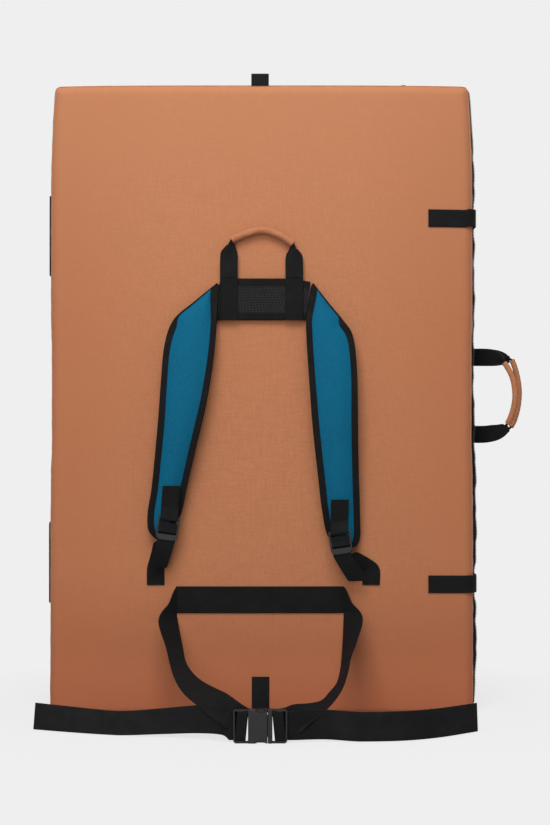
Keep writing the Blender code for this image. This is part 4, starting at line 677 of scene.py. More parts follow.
def make_half(prefix, place, body):
    """Cover, landing panel and the two foams inside."""
    low, high = (-HALF_WIDTH, FACE, 0), (HALF_WIDTH, LANDING - PANEL - GAP, PAD_HEIGHT)
    xs, zs = edge_lines(low[0], high[0], 70, 6), edge_lines(low[2], high[2], 104, 6)
    ys = edge_lines(low[1], high[1], 14, 6, True)
    cover = block(prefix + "_cover_cloth", (xs, ys, zs), low, high, place, pucker, canvas)
    wear(cover, body, "canvas", prefix + "_cover")
    panel = block(prefix + "_landing_cloth", (xs, np.array([LANDING - PANEL, LANDING]), zs),
                  (-HALF_WIDTH, -1, 0), (HALF_WIDTH, 1, PAD_HEIGHT), place,
                  lambda p: dimple(p) * (p[..., 1] >= LANDING), coated)
    wear(panel, body, "landing_cloth", prefix + "_landing_panel")
    inset = 2.4 * MM
    low = (inset - HALF_WIDTH, FACE + inset, inset)
    back = LANDING - PANEL - BOARD - 2 * GAP
    high = (HALF_WIDTH - inset, back, PAD_HEIGHT - inset)
    xs, zs = edge_lines(low[0], high[0], 16, 2), edge_lines(low[2], high[2], 24, 2)
    ys = edge_lines(low[1], back, 4, 2, True)
    core = block(prefix + "_foam_block", (xs, ys, zs), low, high, place, flat, foam)
    wear(core, body, "foam", prefix + "_foam_core")
    firm = block(prefix + "_foam_board", (xs, np.array([back + GAP, LANDING - PANEL - 3 * GAP]), zs),
                 (low[0], -1, low[2]), (high[0], 1, high[2]), place, flat, board)
    wear(firm, body, "firm_foam", prefix + "_foam_sheet")


def rim_path(y, out, place):
    """Closed line round a half at one depth, pushed out along its own outward direction."""
    w, h, r = HALF_WIDTH - ROUNDING, PAD_HEIGHT - ROUNDING, ROUNDING + out
    quarter = math.pi / 2
    turn = np.linspace(0, quarter, 9)
    arcs = [stacked(cx + r * np.cos(turn + start * quarter), y, cz + r * np.sin(turn + start * quarter))
            for cx, cz, start in ((w, ROUNDING, -1), (w, h, 0), (-w, h, 1), (-w, ROUNDING, 2))]
    return place(soft(even(np.vstack(arcs + [arcs[0][:1]]), 4 * MM)))


def make_seams(prefix, place, body):
    """Sewn ridge of the front seam, and the bound edge of the landing cloth."""
    drop = ROUNDING - math.sqrt(ROUNDING ** 2 - (ROUNDING - (SEAM_Y - FACE)) ** 2)
    front = rim_path(SEAM_Y, 0.15 * MM - drop, place)
    wear(tube(prefix + "_front_seam", front, 0.75 * MM, 8, canvas), body, "canvas")
    rear = rim_path(LANDING - 1.35 * MM, 0.35 * MM, place)
    edge = tube(prefix + "_landing_edge", rear, 1.25 * MM, 10, tape)
    for vertex in edge.data.vertices:
        vertex.co.z = max(vertex.co.z, 0)
    wear(edge, body, "webbing")


def zip_stations():
    """Points and outward directions of the zip: up the opening wall, round the corner, along the top."""
    cx, cz = HALF_WIDTH - ROUNDING, PAD_HEIGHT - ROUNDING
    up = np.linspace(10 * MM, cz, 150, endpoint=False)
    turn = np.linspace(0, math.pi / 2, 8)
    top = np.linspace(cx, 191 * MM, 26)[1:]
    x = np.concatenate([0 * up + HALF_WIDTH, cx + ROUNDING * np.cos(turn), top])
    z = np.concatenate([up, cz + ROUNDING * np.sin(turn), 0 * top + PAD_HEIGHT])
    out = stacked(np.concatenate([0 * up + 1, np.cos(turn), 0 * top]), 0,
                  np.concatenate([0 * up, np.sin(turn), 0 * top + 1]))
    return stacked(x, 0, z), out


def zip_welt(at):
    """How far the zip's welt stands up: uneven waves, flat under the closures and at the top."""
    z = at[:, 2]
    high = 1.0 * MM + 1.8 * MM * (1 - ease(z, 360 * MM, 500 * MM))
    high = high + ripple(z, (0.6, 0.083, 0.9), (0.45, 0.037, 2.0), (0.2, 0.019, 0.3)) * MM
    clear = np.min([np.abs(z - height) for _, height in CLOSURES], 0)
    high = high * ease(clear, 17 * MM, 32 * MM)
    return high * (1 - ease(z, 790 * MM, 850 * MM)) * ease(z, 10 * MM, 90 * MM)


def make_zip(prefix, place, body):
    """Zip tape on a raised welt with a row of moulded teeth, and the finish of its slider."""
    at, out = zip_stations()
    run, welt = length(at), zip_welt(at)
    section = np.array([(-7, 0), (-7, 0.5), (-6.6, 0.8), (-4.5, 0.85), (-2.4, 0.85), (2.4, 0.85),
                        (4.5, 0.85), (6.6, 0.8), (7, 0.5), (7, 0)]) * MM
    raised = np.array([0, 0.35, 0.55, 0.85, 1, 1, 0.85, 0.55, 0.35, 0])
    rings = at[:, None] + out[:, None] * (GAP + section[:, 1] + welt[:, None] * raised)[..., None]
    rings[..., 1] += section[:, 0] + ZIP_Y
    around = np.append(section[:, 0], section[0, 0])
    made = skin(prefix + "_zip_tape", place(soft(rings)), run, around, tape)
    wear(made, body, "webbing", prefix + "_zip")
    pitch = 2.1 * MM
    marks = np.arange(pitch, run[-1] - 6 * MM, pitch)
    side = np.where(np.arange(len(marks)) % 2, 1.0, -1.0)
    n = unit(sample(marks, run, out))
    way = np.cross(n, (0, 1.0, 0))
    # corners of a tooth: along the zip, across it, and up
    tooth = np.array([(-0.62, -1.9, 0.75), (0.62, -1.9, 0.75), (0.75, 0.3, 0.75),
                      (-0.75, 0.3, 0.75), (-0.42, -1.7, 1.95), (0.42, -1.7, 1.95),
                      (0.55, 0.55, 2.1), (-0.55, 0.55, 2.1)]) * MM
    stand = GAP + np.interp(marks, run, welt)[:, None, None] + tooth[:, 2:]
    q = sample(marks, run, at)[:, None] + way[:, None] * tooth[:, 0:1] + n[:, None] * stand
    q[..., 1] += tooth[:, 1] * -side[:, None] + ZIP_Y
    six = np.array([(0, 1, 2, 3), (4, 5, 6, 7), (0, 1, 5, 4), (1, 2, 6, 5), (2, 3, 7, 6), (3, 0, 4, 7)])
    faces = (six + (np.arange(len(marks)) * len(tooth))[:, None, None]).reshape(-1, 4)
    teeth = make(prefix + "_zip_teeth", place(soft(q)).reshape(-1, 3), faces.tolist(),
                 np.zeros((faces.size, 2)), plastic, 30)
    wear(teeth, body, "black_plastic")
    dress(metal, prefix + "_zip_slider")


def make_hinge():
    """Cloth strip that joins the landing sides: flange, turn round the fold, flange, and gentle waves."""
    inner, outer, reach = 0.3 * MM, 1.2 * MM, 5.5 * MM
    seam = SEAM_DRAW + GAP - HALF_WIDTH
    tip, end = seam - reach, seam + 24 * MM
    turn = np.linspace(math.pi / 2, 3 * math.pi / 2, 11)
    far = [(end, outer), (seam, outer)] + [(tip + outer * math.cos(t), outer * math.sin(t)) for t in turn]
    far += [(seam, -outer), (end, -outer), (end, -inner), (seam, -inner)]
    far += [(tip + 0.45 * MM + inner * math.cos(t), inner * math.sin(t)) for t in turn[::-1]]
    outline = np.array(far + [(seam, inner), (end, inner)])
    z = np.linspace(25 * MM, PAD_HEIGHT - 25 * MM, 160)
    bulge = 0.5 * MM * (1 + ripple(z, (0.5, 0.061, 0.2), (0.5, 0.141, 1.0)))
    shift = np.clip((seam - outline[:, 0]) / reach, 0, 1)
    rings = stacked(outline[:, 0] - bulge[:, None] * shift * 0.5, FOLD + outline[:, 1], z[:, None])
    around = np.append(length(outline), length(outline)[-1] + 1 * MM)
    strip = skin("fold_hinge_cloth", rings, z, around, tape)
    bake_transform(strip)
    wear(strip, None, "webbing", "fold_hinge_strip")


def wall_slab(name, side, y_mid, y_long, z_mid, z_long, thick, place, mat):
    """Flat patch on a side wall, following the wall's bulge, with rounded edges."""
    share = np.array([-0.5, -0.492, -0.47, -0.25, 0, 0.25, 0.47, 0.492, 0.5])
    lift = np.array([0.4, 0.8, 1, 1, 1, 1, 1, 0.8, 0.4]) * thick
    z = z_mid + z_long * np.linspace(-0.5, 0.5, 30)
    y = y_mid + y_long * share
    top, under = (place(soft(stacked(side * (HALF_WIDTH + GAP + off), y, z[:, None])))
                  for off in (lift, 0 * lift))
    return sheet(name, top, under, z, y, mat)


def make_patches():
    """Hook-and-loop patches on the spine and under the closure straps."""
    for word, z in (("upper", 681.5 * MM), ("lower", 211.5 * MM)):
        for (prefix, place, body), mat in zip(HALVES, (pile, hook)):
            slab = wall_slab(prefix + "_spine_" + word, -1, 0, 50 * MM, z, 115 * MM, 1.7 * MM, place, mat)
            wear(slab, body, "webbing", prefix + "_spine_patch_" + word)
            y, h = 23 * MM, 55.5 * MM
            p = np.array([(0, -y, -h), (0, y, -h), (0, y, h), (0, -y, h), (0, -y, -h)])
            line = place(soft(even(p + [-HALF_WIDTH - 2.1 * MM, 0, z], 3 * MM)))
            stitches(prefix + "_spine_stitch_" + word, [line], body, out=(-1.0, 0, 0))
    for word, z in CLOSURES:
        slab = wall_slab("back_closure_loop_" + word, 1, 8 * MM, 40 * MM, z, WEBBING, 1.5 * MM, behind,
                         pile)
        wear(slab, "back_half", "webbing", "back_closure_patch_" + word)


# ---- closures and seam tabs

def make_closures():
    """Sewn ends on the face, and the straps that turn round the opening side."""
    off, radius = GAP + THICK / 2, 14 * MM
    for word, z in CLOSURES:
        sewn = on_face(np.linspace(237 * MM, 262.2 * MM, 9), z, off)
        wear(ribbon("closure_end_" + word, sewn, UPRIGHT, WEBBING, THICK), "harness_half", "webbing",
             "closure_anchor_" + word)
        wall = HALF_WIDTH - narrowing(z) - SEAM_DRAW * (44 / 90) ** 2 + 2.2 * MM + 2 * GAP + THICK / 2
        bend = wall - radius
        run = on_face(np.linspace(262.35 * MM, bend, 8), z, off)
        turn = np.linspace(-math.pi / 2, 0, 12)[1:]
        corner = stacked(bend + radius * np.cos(turn), run[-1, 1] + radius * (1 + np.sin(turn)), z)
        back = stacked(wall, np.linspace(corner[-1, 1], 121 * MM, 40)[1:], z)
        path = even(np.vstack([run, corner, back]), 2.5 * MM)
        wear(ribbon("closure_web_" + word, path, UPRIGHT, WEBBING, THICK), "closure_" + word, "webbing",
             "closure_strap_" + word)
        height = np.linspace(-11 * MM, 11 * MM, 10)
        lines = [on_face(x * MM, z + height, off + THICK / 2 + PROUD) for x in (239, 256.6, 259.7)]
        stitches("closure_stitch_" + word, lines, "harness_half")


def make_seam_tabs():
    """Folded tab in the top front seam, and the short strip that ends in the bottom seam."""
    deep = ROUNDING - (SEAM_Y - FACE)
    middle, high = -2.3 * MM, PAD_HEIGHT - ROUNDING + math.sqrt(ROUNDING ** 2 - deep ** 2)
    seam = soft(np.array([middle, SEAM_Y, high]), 0)
    root, bend = seam[2] + GAP, 1.2 * MM
    top = root + 15.5 * MM
    turn = np.linspace(math.pi, 0, 9)
    y = np.concatenate([np.full(6, -bend), bend * np.cos(turn), np.full(6, bend)]) + seam[1]
    z = np.concatenate([np.linspace(root, top, 7)[:-1], top + bend * np.sin(turn),
                        np.linspace(top, root + bend, 7)[1:]])
    loop = ribbon("top_loop_web", stacked(middle, y, z), LEVEL, WEBBING, THICK)
    wear(loop, "harness_half", "webbing", "top_loop")
    z = np.linspace(51 * MM, ROUNDING, 14)
    turn = np.concatenate([0 * z, np.linspace(0, math.pi / 2 * 0.62, 6)[1:]])
    y = FACE + ROUNDING * (1 - np.cos(turn))
    z = np.append(z, ROUNDING * (1 - np.sin(turn[len(z):])))
    x = -1.5 * MM + ACROSS * WEBBING / 2
    outer, inner = (soft(stacked(x, y[:, None] - np.cos(turn)[:, None] * off,
                                 z[:, None] - np.sin(turn)[:, None] * off))
                    for off in (GAP + THICK * (0.5 + RIM / 2), GAP + THICK * (0.5 - RIM / 2)))
    strip = sheet("bottom_strip_web", outer, inner, length(stacked(0, y, z)), x, webbing, 50)
    wear(strip, "harness_half", "webbing", "bottom_strip")


# ---- handles

def make_handle(name, frame_of, sizes, legs):
    """Webbing legs that fold together towards the grip, and the canvas sleeve round it."""
    origin, out, along = frame_of
    reach, spread, radius = sizes
    steps, slim, bore = 10, 3.4 * MM, 3.0 * MM
    rows = through([(o * reach, a * spread / 2, w * WEBBING) for o, a, w in legs], steps)
    centres = origin + out * rows[:, :1] + along * rows[:, 1:2]
    widths = np.clip(rows[:, 2], slim, WEBBING)
    normal = unit(np.cross(out, along))
    side = np.cross(normal, travel(centres))
    start, end = 4 * steps, len(centres) - 4 * steps
    widths[start - 4:end + 4] = slim
    fold = 1 - (widths - slim) / (WEBBING - slim)
    offset = ACROSS * widths[:, None] / 2
    crease = np.cos(np.linspace(0, 3 * math.pi, len(ACROSS))) * 1.0 * MM
    lift = crease * np.sin(math.pi * np.clip(fold, 0, 1))[:, None]
    middle = centres[:, None] + side[:, None] * offset[..., None] + normal * lift[..., None]
    rise = normal * (RIM * THICK / 2)[:, None]
    web = sheet(name + "_web", middle + rise, middle - rise, length(centres), offset, webbing, 50)
    wear(web, name, "webbing", name + "_webbing")
    path = even(centres[start - 1:end + 1], 1.2 * MM)
    run = length(path)
    ends = np.minimum(run, run[-1] - run)
    folds = ripple(run, (0.5, 0.0063, 0.3), (0.4, 0.0091, 1.7), (0.3, 0.021, 0.8))
    fat = radius * (1 + 0.05 * folds * np.exp(-ends / 0.02) + 0.012 * folds)
    fat = fat * np.where(ends < 1.2 * MM, 0.86, 1.0)
    side = np.cross(normal, travel(path))
    turn = TAU * np.arange(20) / 20
    lump = 1 + 0.03 * np.sin(3 * turn + run[:, None] / 0.006)
    ring = circle(side, normal, len(turn))
    outer, inner = path[:, None] + ring * (fat[:, None] * lump)[..., None], path[:, None] + ring * bore
    rings = np.concatenate([outer, inner[::-1], outer[:1]])
    sleeve = skin(name + "_sleeve", rings, np.concatenate([run, run[::-1], run[:1]]),
                  radius * np.append(turn, TAU), grip_canvas, caps=False, angle=70)
    wear(sleeve, name, "canvas", name + "_grip")
    seam = path + side * radius * 0.99
    stitches(name + "_sleeve_stitch", [seam[6:-6]], name, brown_thread, "canvas", out=normal)


def make_handles():
    """Two side handles on their hinge lines, the top handle, and its legs sewn on the yoke."""
    wall = soft(np.array([HALF_WIDTH, LANDING - 2.5 * MM, HANDLE_HEIGHT]), 0)
    for name, place, legs, lean, reach in (
            ("harness_side_handle", stay, HARNESS_HANDLE, math.radians(-27), 76 * MM),
            ("back_side_handle", behind, BACK_HANDLE, math.radians(5), 81 * MM)):
        root = place(np.array([wall[0] + 0.9 * MM, wall[1], HANDLE_HEIGHT]))
        out = np.array([math.cos(lean), math.sin(lean), 0])
        make_handle(name, (root, out, np.array(UPRIGHT)), (reach, 113 * MM, 4 * MM), legs)
    top = YOKE[3] + GAP + TAPE + 0.75 * MM
    root = on_face(LEG_ASIDE, top + PROUD, LEGS_OFF, 0) * [0, 1, 1]
    lean = math.radians(2.2)
    make_handle("top_handle", (root, np.array([0, math.sin(lean), math.cos(lean)]), np.array(LEVEL)),
                (67 * MM, 2 * LEG_ASIDE, 4.9 * MM), TOP_HANDLE)
    z = np.linspace(YOKE[2] - GAP - TAPE, top, 24)
    half, low, high = 10, 562, 611
    box = [(-half, low), (half, low), (half, high), (-half, high), (-half, low)]
    for word, x in (("left", -LEG_ASIDE), ("right", LEG_ASIDE)):
        leg = ribbon("top_handle_leg_" + word, on_face(x, z, LEGS_OFF), LEVEL, WEBBING, THICK)
        wear(leg, "harness_half", "webbing", "top_handle_patch_" + word)
        lines = []
        for corners in (box, box[0:3:2], box[3:0:-2]):
            line = even([(x + u * MM, 0, v * MM) for u, v in corners], 3 * MM)
            lines.append(on_face(line[:, 0], line[:, 2], LEGS_OFF + THICK / 2 + PROUD))
        stitches("top_handle_stitch_" + word, lines, "harness_half")


def make_yoke():
    """Spacer mesh with a crowned face between the straps, and folded tape on its two long edges."""
    left, right, low, high = YOKE
    front, rear = GAP + STACK, GAP + TAPE + GAP
    across = np.linspace(0, 1, 40)
    x = left + (right - left) * across

    def at(z, off):
        """Points of the yoke: its right end leans out and its corner droops towards the strap."""
        share, z = np.broadcast_arrays(across[:, None], z)
        up = np.clip((z - low) / (high - low), 0, 1)
        start, end = left + 5.5 * MM * up ** 3, right + (6.4 * up - 0.4) * MM
        droop = (4.5 * MM * ease(share, 0.82, 1.0) + 2.5 * MM * ease(-share, -0.08, 0)) * ease(up, 0, 1)
        return on_face(start + (end - start) * share, z - droop, off)

    z = np.linspace(low, high, 24)
    puff = 0.8 * MM * np.clip(1 - ((z - low) / (high - low) * 2 - 1) ** 4, 0, 1)
    mesh = sheet("yoke_spacer_mesh", at(z, rear + YOKE_MESH + puff), at(z, rear), x, z, spacer)
    wear(mesh, "harness_half", "spacer_mesh", "yoke_mesh")
    turn = np.linspace(math.pi / 2, -math.pi / 2, 9)
    middle, half = (front + GAP) / 2, (front - GAP) / 2
    flap = np.array([9, 5, 1]) * MM
    offs = np.concatenate([np.full(3, front), middle + half * np.sin(turn), np.full(3, GAP),
                           np.full(3, rear - GAP), [middle], np.full(3, front - TAPE)])
    inward = np.concatenate([flap, -(GAP + TAPE) * np.cos(turn), flap[::-1], flap, [-GAP], flap[::-1]])
    for word, edge, up in (("top", high, 1), ("bottom", low, -1)):
        zs = edge - up * inward
        run = length(stacked(offs, zs))
        wear(skin("yoke_tape_" + word, at(zs, offs), x, np.append(run, run[-1] + 1 * MM), tape, angle=60),
             "harness_half", "webbing", "yoke_binding_" + word)
        line = at(edge - up * 7.6 * MM, front + PROUD)[:, 0]
        stitches("yoke_stitch_" + word, [line], "harness_half")


# ---- shoulder straps

def stand_off(z):
    """How far the straps' middle plane stands off the face: an arch, low at both ends."""
    down = (STRAP_TOP - z) / STRAP_DROP
    return STRAP_SEAT + (STRAP_LOW_SEAT - STRAP_SEAT) * down + STRAP_ARCH * np.sin(math.pi * down)


def crown_height(z):
    """Thickness in front of the edge plane along the strap's middle, thinner towards its tip."""
    down = np.clip((STRAP_TOP - z) / STRAP_DROP, 0, 1)
    return STRAP_EDGE / 2 + (STRAP_THICK - STRAP_EDGE) * (1 - 0.35 * down ** 4)


def strap_rows(edges, t):
    """Outer x and z, inner x and z of a strap's two edges, so far down its length."""
    place = np.linspace(0, 1, len(edges))
    return [np.interp(t, place, column) for column in edges.T]


def hems(edges, t):
    """Shares of the half width where the edge tape's inner lines lie, on the outer and inner side.

    The tape keeps one width; beside the yoke the outer side shows hardly any of it."""
    row = strap_rows(edges, t)
    half = np.hypot(row[2] - row[0], row[3] - row[1]) / 2
    wide = BINDING + 4.5 * MM * (1 - ease(t, 0.03, 0.14))
    full = np.clip(wide / half, 0, 1.9 - 1.28 * ease(t, 0.17, 0.23))
    outer = 0.04 + (full - 0.04) * ease(t, 0.17, 0.23)
    return outer - 1, 1 - full, half


def strap_front(edges, t, z, u):
    """Thickness in front of the edge plane: a crown between the tape's two inner lines."""
    left, right, half = hems(edges, t)
    across = (2 * u - left - right) / (right - left)
    crown = np.maximum(0, 1 - across ** 2) * np.clip(half / 24 / MM, 0, 1)
    graded = np.clip((0.95 - t) / 0.05, 0, 1)
    return STRAP_EDGE / 2 + (crown_height(z) - STRAP_EDGE / 2) * crown * graded


def strap_at(edges, t, u):
    """Points on a strap, t down its length and u from its outer to its inner edge."""
    t, u = np.broadcast_arrays(t, u)
    row = strap_rows(edges, t)
    x = row[0] + (row[2] - row[0]) * (u + 1) / 2
    z = row[1] + (row[3] - row[1]) * (u + 1) / 2
    return stacked(x, on_face(x, z, stand_off(z))[..., 1], z)


def strap_layer(name, edges, front, back, mat, count=27):
    """A layer of a strap between two thickness functions of (t, z, u)."""
    t, u = np.linspace(0, 1, 150)[:, None], np.linspace(-1, 1, count)[None, :]
    plain = strap_at(edges, t, u)
    over, under = (plain - shape(t, plain[..., 2], u)[..., None] * [0, 1, 0] for shape in (front, back))
    across = np.linalg.norm(plain[:, -1] - plain[:, 0], axis=1)[:, None] * u / 2
    return sheet(name, over, under, length(plain[:, count // 2]), across, mat, 60)


def strap_binding(name, edges):
    """Folded tape round a strap's edge: down the outer side, round the tip and up the inner side."""
    t = np.linspace(0, 1, 130)[:-1]
    tip = np.linspace(-1, 1, 25)
    u = np.concatenate([0 * t - 1, tip, 0 * t + 1])
    rim = strap_at(edges, np.concatenate([t, 0 * tip + 1, t[::-1]]), u)
    side = np.minimum(t, 0.925)
    outer, inward, _ = hems(edges, side)
    end = hems(edges, 0.95)
    u_in = np.concatenate([outer, end[0] + (end[1] - end[0]) * (tip + 1) / 2, inward[::-1]])
    inner = strap_at(edges, np.concatenate([side, 0 * tip + 0.95, side[::-1]]), u_in)
    away = unit((rim - inner) * [1, 0, 1])
    hollow = STRAP_EDGE / 2 + 2 * GAP + STRAP_CLOTH
    over = hollow + TAPE
    # each point of the section: share from the inner line to the rim, outwards, forwards
    section = [(0, 0, over), (0.03, 0, over + PROUD), (0.5, 0, over + 0.25 * MM), (0.9, 0, over)]
    bow = np.linspace(math.pi / 2, -math.pi / 2, 9)
    section += [(1, (GAP + TAPE) * math.cos(b), over * math.sin(b)) for b in bow]
    section += [(0.9, 0, -over), (0.5, 0, -over), (0, 0, -over), (0, 0, -hollow), (0.9, 0, -hollow)]
    section += [(1, GAP, 0), (0.9, 0, hollow), (0, 0, hollow)]
    share, out, fore = np.array(section).T
    rings = inner[:, None] + (rim - inner)[:, None] * share[:, None] + away[:, None] * out[:, None]
    rings[..., 1] -= fore
    flat_run = np.append(length(stacked(share * 10 * MM + out, fore)), 0)
    line = inner + (rim - inner) * 0.13 - [0, over + 0.2 * MM, 0]
    return skin(name, rings, length(rim), flat_run, tape, angle=60), line


def lock_frame(x, drop, turn):
    """Placing function of a ladder lock: across, up and forward from its middle."""
    middle = on_face(x, STRAP_TOP - drop, LOCK_OFF, 0)
    right = np.array([math.cos(turn), 0, math.sin(turn)])
    up = np.array([-math.sin(turn), 0, math.cos(turn)])
    fore = np.array([0, -1, 0])
    return lambda u, v, w: middle + right * u + up * v + fore * w, right


def bend_round(v, w, radius, start, end):
    """Points round a bar's corner, between two directions given in degrees from +v to +w."""
    turn = np.radians(np.linspace(start, end, 7))
    return [(v + radius * math.cos(a), w + radius * math.sin(a)) for a in turn]


def crossed_box(half, low, high, count):
    """A sewn box and its two diagonals: each line's places aside and along, in millimetres."""
    share = np.linspace(0, 1, count)
    for a, b, c, d in ((-half, low, half, low), (half, low, half, high), (half, high, -half, high),
                       (-half, high, -half, low), (-half, low, half, high), (-half, high, half, low)):
        yield a + (c - a) * share, b + (d - b) * share


def make_tab(name, place, right, slope):
    """Webbing sewn on the strap's front and folded round the ladder lock's top bar."""
    half, deep, long = THICK / 2, LOCK_DEEP / 2, 42 * MM
    wrap = GAP + half
    bar = place(0, (LOCK_TOP + LOCK_BAR_LOW) / 2, 0)
    over = bar[2] + LOCK_TOP - LOCK_BAR_LOW
    z = over + long * np.linspace(1, 0.25, 13)
    off = stand_off(z) + crown_height(z) + 2 * GAP + STRAP_CLOTH + half
    x = bar[0] + (z - bar[2]) * slope
    rear, fore = on_face(x, z, off), on_face(x, z, off + THICK + GAP)[::-1]
    sole = LOCK_BAR_LOW - 0.5 * MM
    bend = [(LOCK_TOP, -deep - wrap)] + bend_round(sole, -deep, wrap, -90, -180)
    bend += bend_round(sole, deep, wrap, 180, 90) + [(LOCK_TOP, deep + wrap)]
    path = np.vstack([rear, [place(0, v, w) for v, w in bend], fore])
    across = right + (np.array(LEVEL) - right) * ease(path[:, 2:], over, over + long)
    wear(ribbon(name + "_tab_web", path, across, WEBBING, THICK), name, "webbing", name + "_tab")
    lines = []
    for aside, down in crossed_box(10.5, 3, 26, 12):
        z_line, aside = fore[-1, 2] - down * MM, aside * MM
        x_mid, y_mid = sample(z_line, fore[:, 2], fore[:, :2]).T
        tilt = right[2] * (1 - ease(z_line, over, over + long))
        lines.append(stacked(x_mid + aside, y_mid - half - PROUD, z_line + aside * tilt))
    stitches(name + "_tab_stitch", lines, name)


def make_adjuster(side, place, right, foot_x, tail_end, bows):
    """Webbing sewn to the cover, up behind the ladder lock, over its wrap bar and out as a tail."""
    name, strap, lock = "adjuster_" + side, "strap_" + side, "lock_" + side
    node = "adjuster_webbing_" + side
    bottom, deep, half = -LOCK_TOP - 3 * MM, LOCK_DEEP / 2, THIN / 2
    wrap = GAP + half
    tail_w, load_w = LIP_DEEP - deep + wrap, deep + wrap + half
    head = place(0, bottom, -load_w)
    sewn_low, sewn_top = on_face(foot_x, 180.8 * MM, wrap), on_face(foot_x, 203 * MM, wrap)
    plain = np.array(LEVEL)

    def beside(a, b, share):
        way = b - a
        across = unit(np.array([way[2], 0, -way[0]]))
        across = -across if across[0] < 0 else across
        return unit(right + (across - right) * share)

    rows = [np.append(sewn_low, plain), np.append(sewn_top, plain)]
    for share, rise, bow, turned in zip((0.25, 0.6, 0.88), (0.12, 0.5, 0.86), bows, (0.7, 1.0, 0.5)):
        at = sewn_top + (head - sewn_top) * share
        at[1] = sewn_top[1] + (head[1] - sewn_top[1]) * rise
        at[0] += bow * MM
        rows.append(np.append(at, beside(sewn_top, head, turned)))
    rows = even(through(rows + [np.append(head, right)], 8), 2 * MM)
    cut = int(len(rows) * 0.62)
    for word, part, bodies, bend in (
            ("_foot", rows[:cut + 1], ("harness_half", strap), (int(cut * 0.4), cut)),
            ("_rise", rows[cut:], (strap, lock), (cut, -1))):
        made = ribbon(name + word, part[:, :3], part[:, 3:], WEBBING, THIN)
        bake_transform(made)
        wear(made, None, "webbing", node)
    slack_loop = np.array([(7.4, -3.3), (8.1, -1.5), (8.4, 0), (8.1, 1.6), (7.3, 3.0), (3.8, 2.9),
                           (-0.4, 2.4), (-2.1, 2.9)]) * MM
    bends = [(bottom, -load_w), (LOCK_LIP, -load_w), *slack_loop,
             *bend_round(LOCK_WRAP_LOW, deep, wrap, 90, 180),
             *bend_round(LOCK_LIP, deep - LIP_DEEP, wrap, -30, -90), (bottom, -tail_w)]
    inside = np.array([place(0, v, w) for v, w in bends])
    start, end = inside[-1], on_face(tail_end[0] * MM, tail_end[1] * MM, 15 * MM)
    shares = np.linspace(0, 1, 14)[1:]
    tail = start + (end - start) * shares[:, None]
    tail[:, 1] -= 1.6 * MM * np.sin(math.pi * shares)
    turned = np.array([beside(start, end, s) for s in shares])
    turned = turned + (plain - turned) * ease(shares, 0.8, 1.0)[:, None]
    across = np.vstack([np.tile(right, (len(inside), 1)), turned])
    wear(ribbon(name + "_tail", np.vstack([inside, tail]), across, WEBBING, THIN), lock, "webbing", node)
    lines = [on_face(foot_x + aside * MM, up * MM, GAP + THIN + PROUD)
             for aside, up in crossed_box(10.5, 185, 201, 8)]
    stitches(name + "_stitch", lines, "harness_half")


def make_strap(side, shares, lock, turn, slope, foot_x, tail_end, bows):
    """Shoulder strap: foam, face cloth, mesh backing, bound edge, tab and adjuster webbing."""
    name = "strap_" + side
    rows = [(a * STRAP_REACH, STRAP_TOP - b * STRAP_DROP, c * STRAP_REACH, STRAP_TOP - d * STRAP_DROP)
            for a, b, c, d in shares]
    edges = through(rows, 12)
    step = GAP + STRAP_CLOTH

    def front(extra):
        return lambda t, z, u: strap_front(edges, t, z, u) + extra

    def back(extra):
        return lambda t, z, u: -STRAP_EDGE / 2 - extra + 0 * (t + u)

    for word, layer, mat, count, slot, node in (
            ("_foam_pad", (front(0), back(0)), foam, 27, "foam", "_foam"),
            ("_face_cloth", (front(step), front(GAP)), strap_cloth, 41, "strap_face", "_face"),
            ("_back_mesh", (back(GAP), back(step)), spacer, 15, "spacer_mesh", "_backing")):
        made = wear(strap_layer(name + word, edges, *layer, mat, count), name, slot, name + node)
    binding, line = strap_binding(name + "_edge_tape", edges)
    wear(binding, name, "webbing", name + "_binding")
    stitches(name + "_edge_stitch", [line], name, pitch=3.6 * MM)
    place, right = lock_frame(lock[0] * MM, lock[1] * MM, turn)
    make_tab(name, place, right, slope)
    make_adjuster(side, place, right, foot_x * MM, tail_end, bows)
    dress(plastic, "ladder_lock_" + side)


# ---- waist belt

def belt_strands(side, rise):
    """Webbing through one end of the waist buckle, from the load strand to the tail strand.

    The load strand comes down behind the outer bars, turned, and is square where it turns round."""
    outer = BUCKLE_FAR - 1.9 * MM
    bar_out = outer - STRAND
    bar_in = bar_out - 10.8 * MM
    deep, wrap, out = BUCKLE_DEEP, GAP + THICK / 2, BUCKLE_FAR + STRAND
    load = deep + wrap + THICK + GAP
    route = [(out, load), (bar_out, load)]
    route += bend_round(bar_in, deep, wrap, 90, 180)
    route += bend_round(bar_in, -deep, wrap, 180, 270) + bend_round(bar_out, -deep, wrap, -90, 0)
    route += bend_round(outer, deep, wrap, 180, 90) + [(out, deep + wrap)]
    share = np.concatenate([[1, 0.62], np.linspace(0.25, 0, 7), np.zeros(len(route) - 9)])
    turn = math.radians(5.5) + share * rise / (30 * MM)
    points = [(side * u, BUCKLE_Y + y, BUCKLE_Z + rise * s) for (u, y), s in zip(route, share)]
    across = np.stack([side * np.sin(turn), 0 * turn, -np.cos(turn), 0 * turn + BELT], 1)
    return np.hstack([points, across])


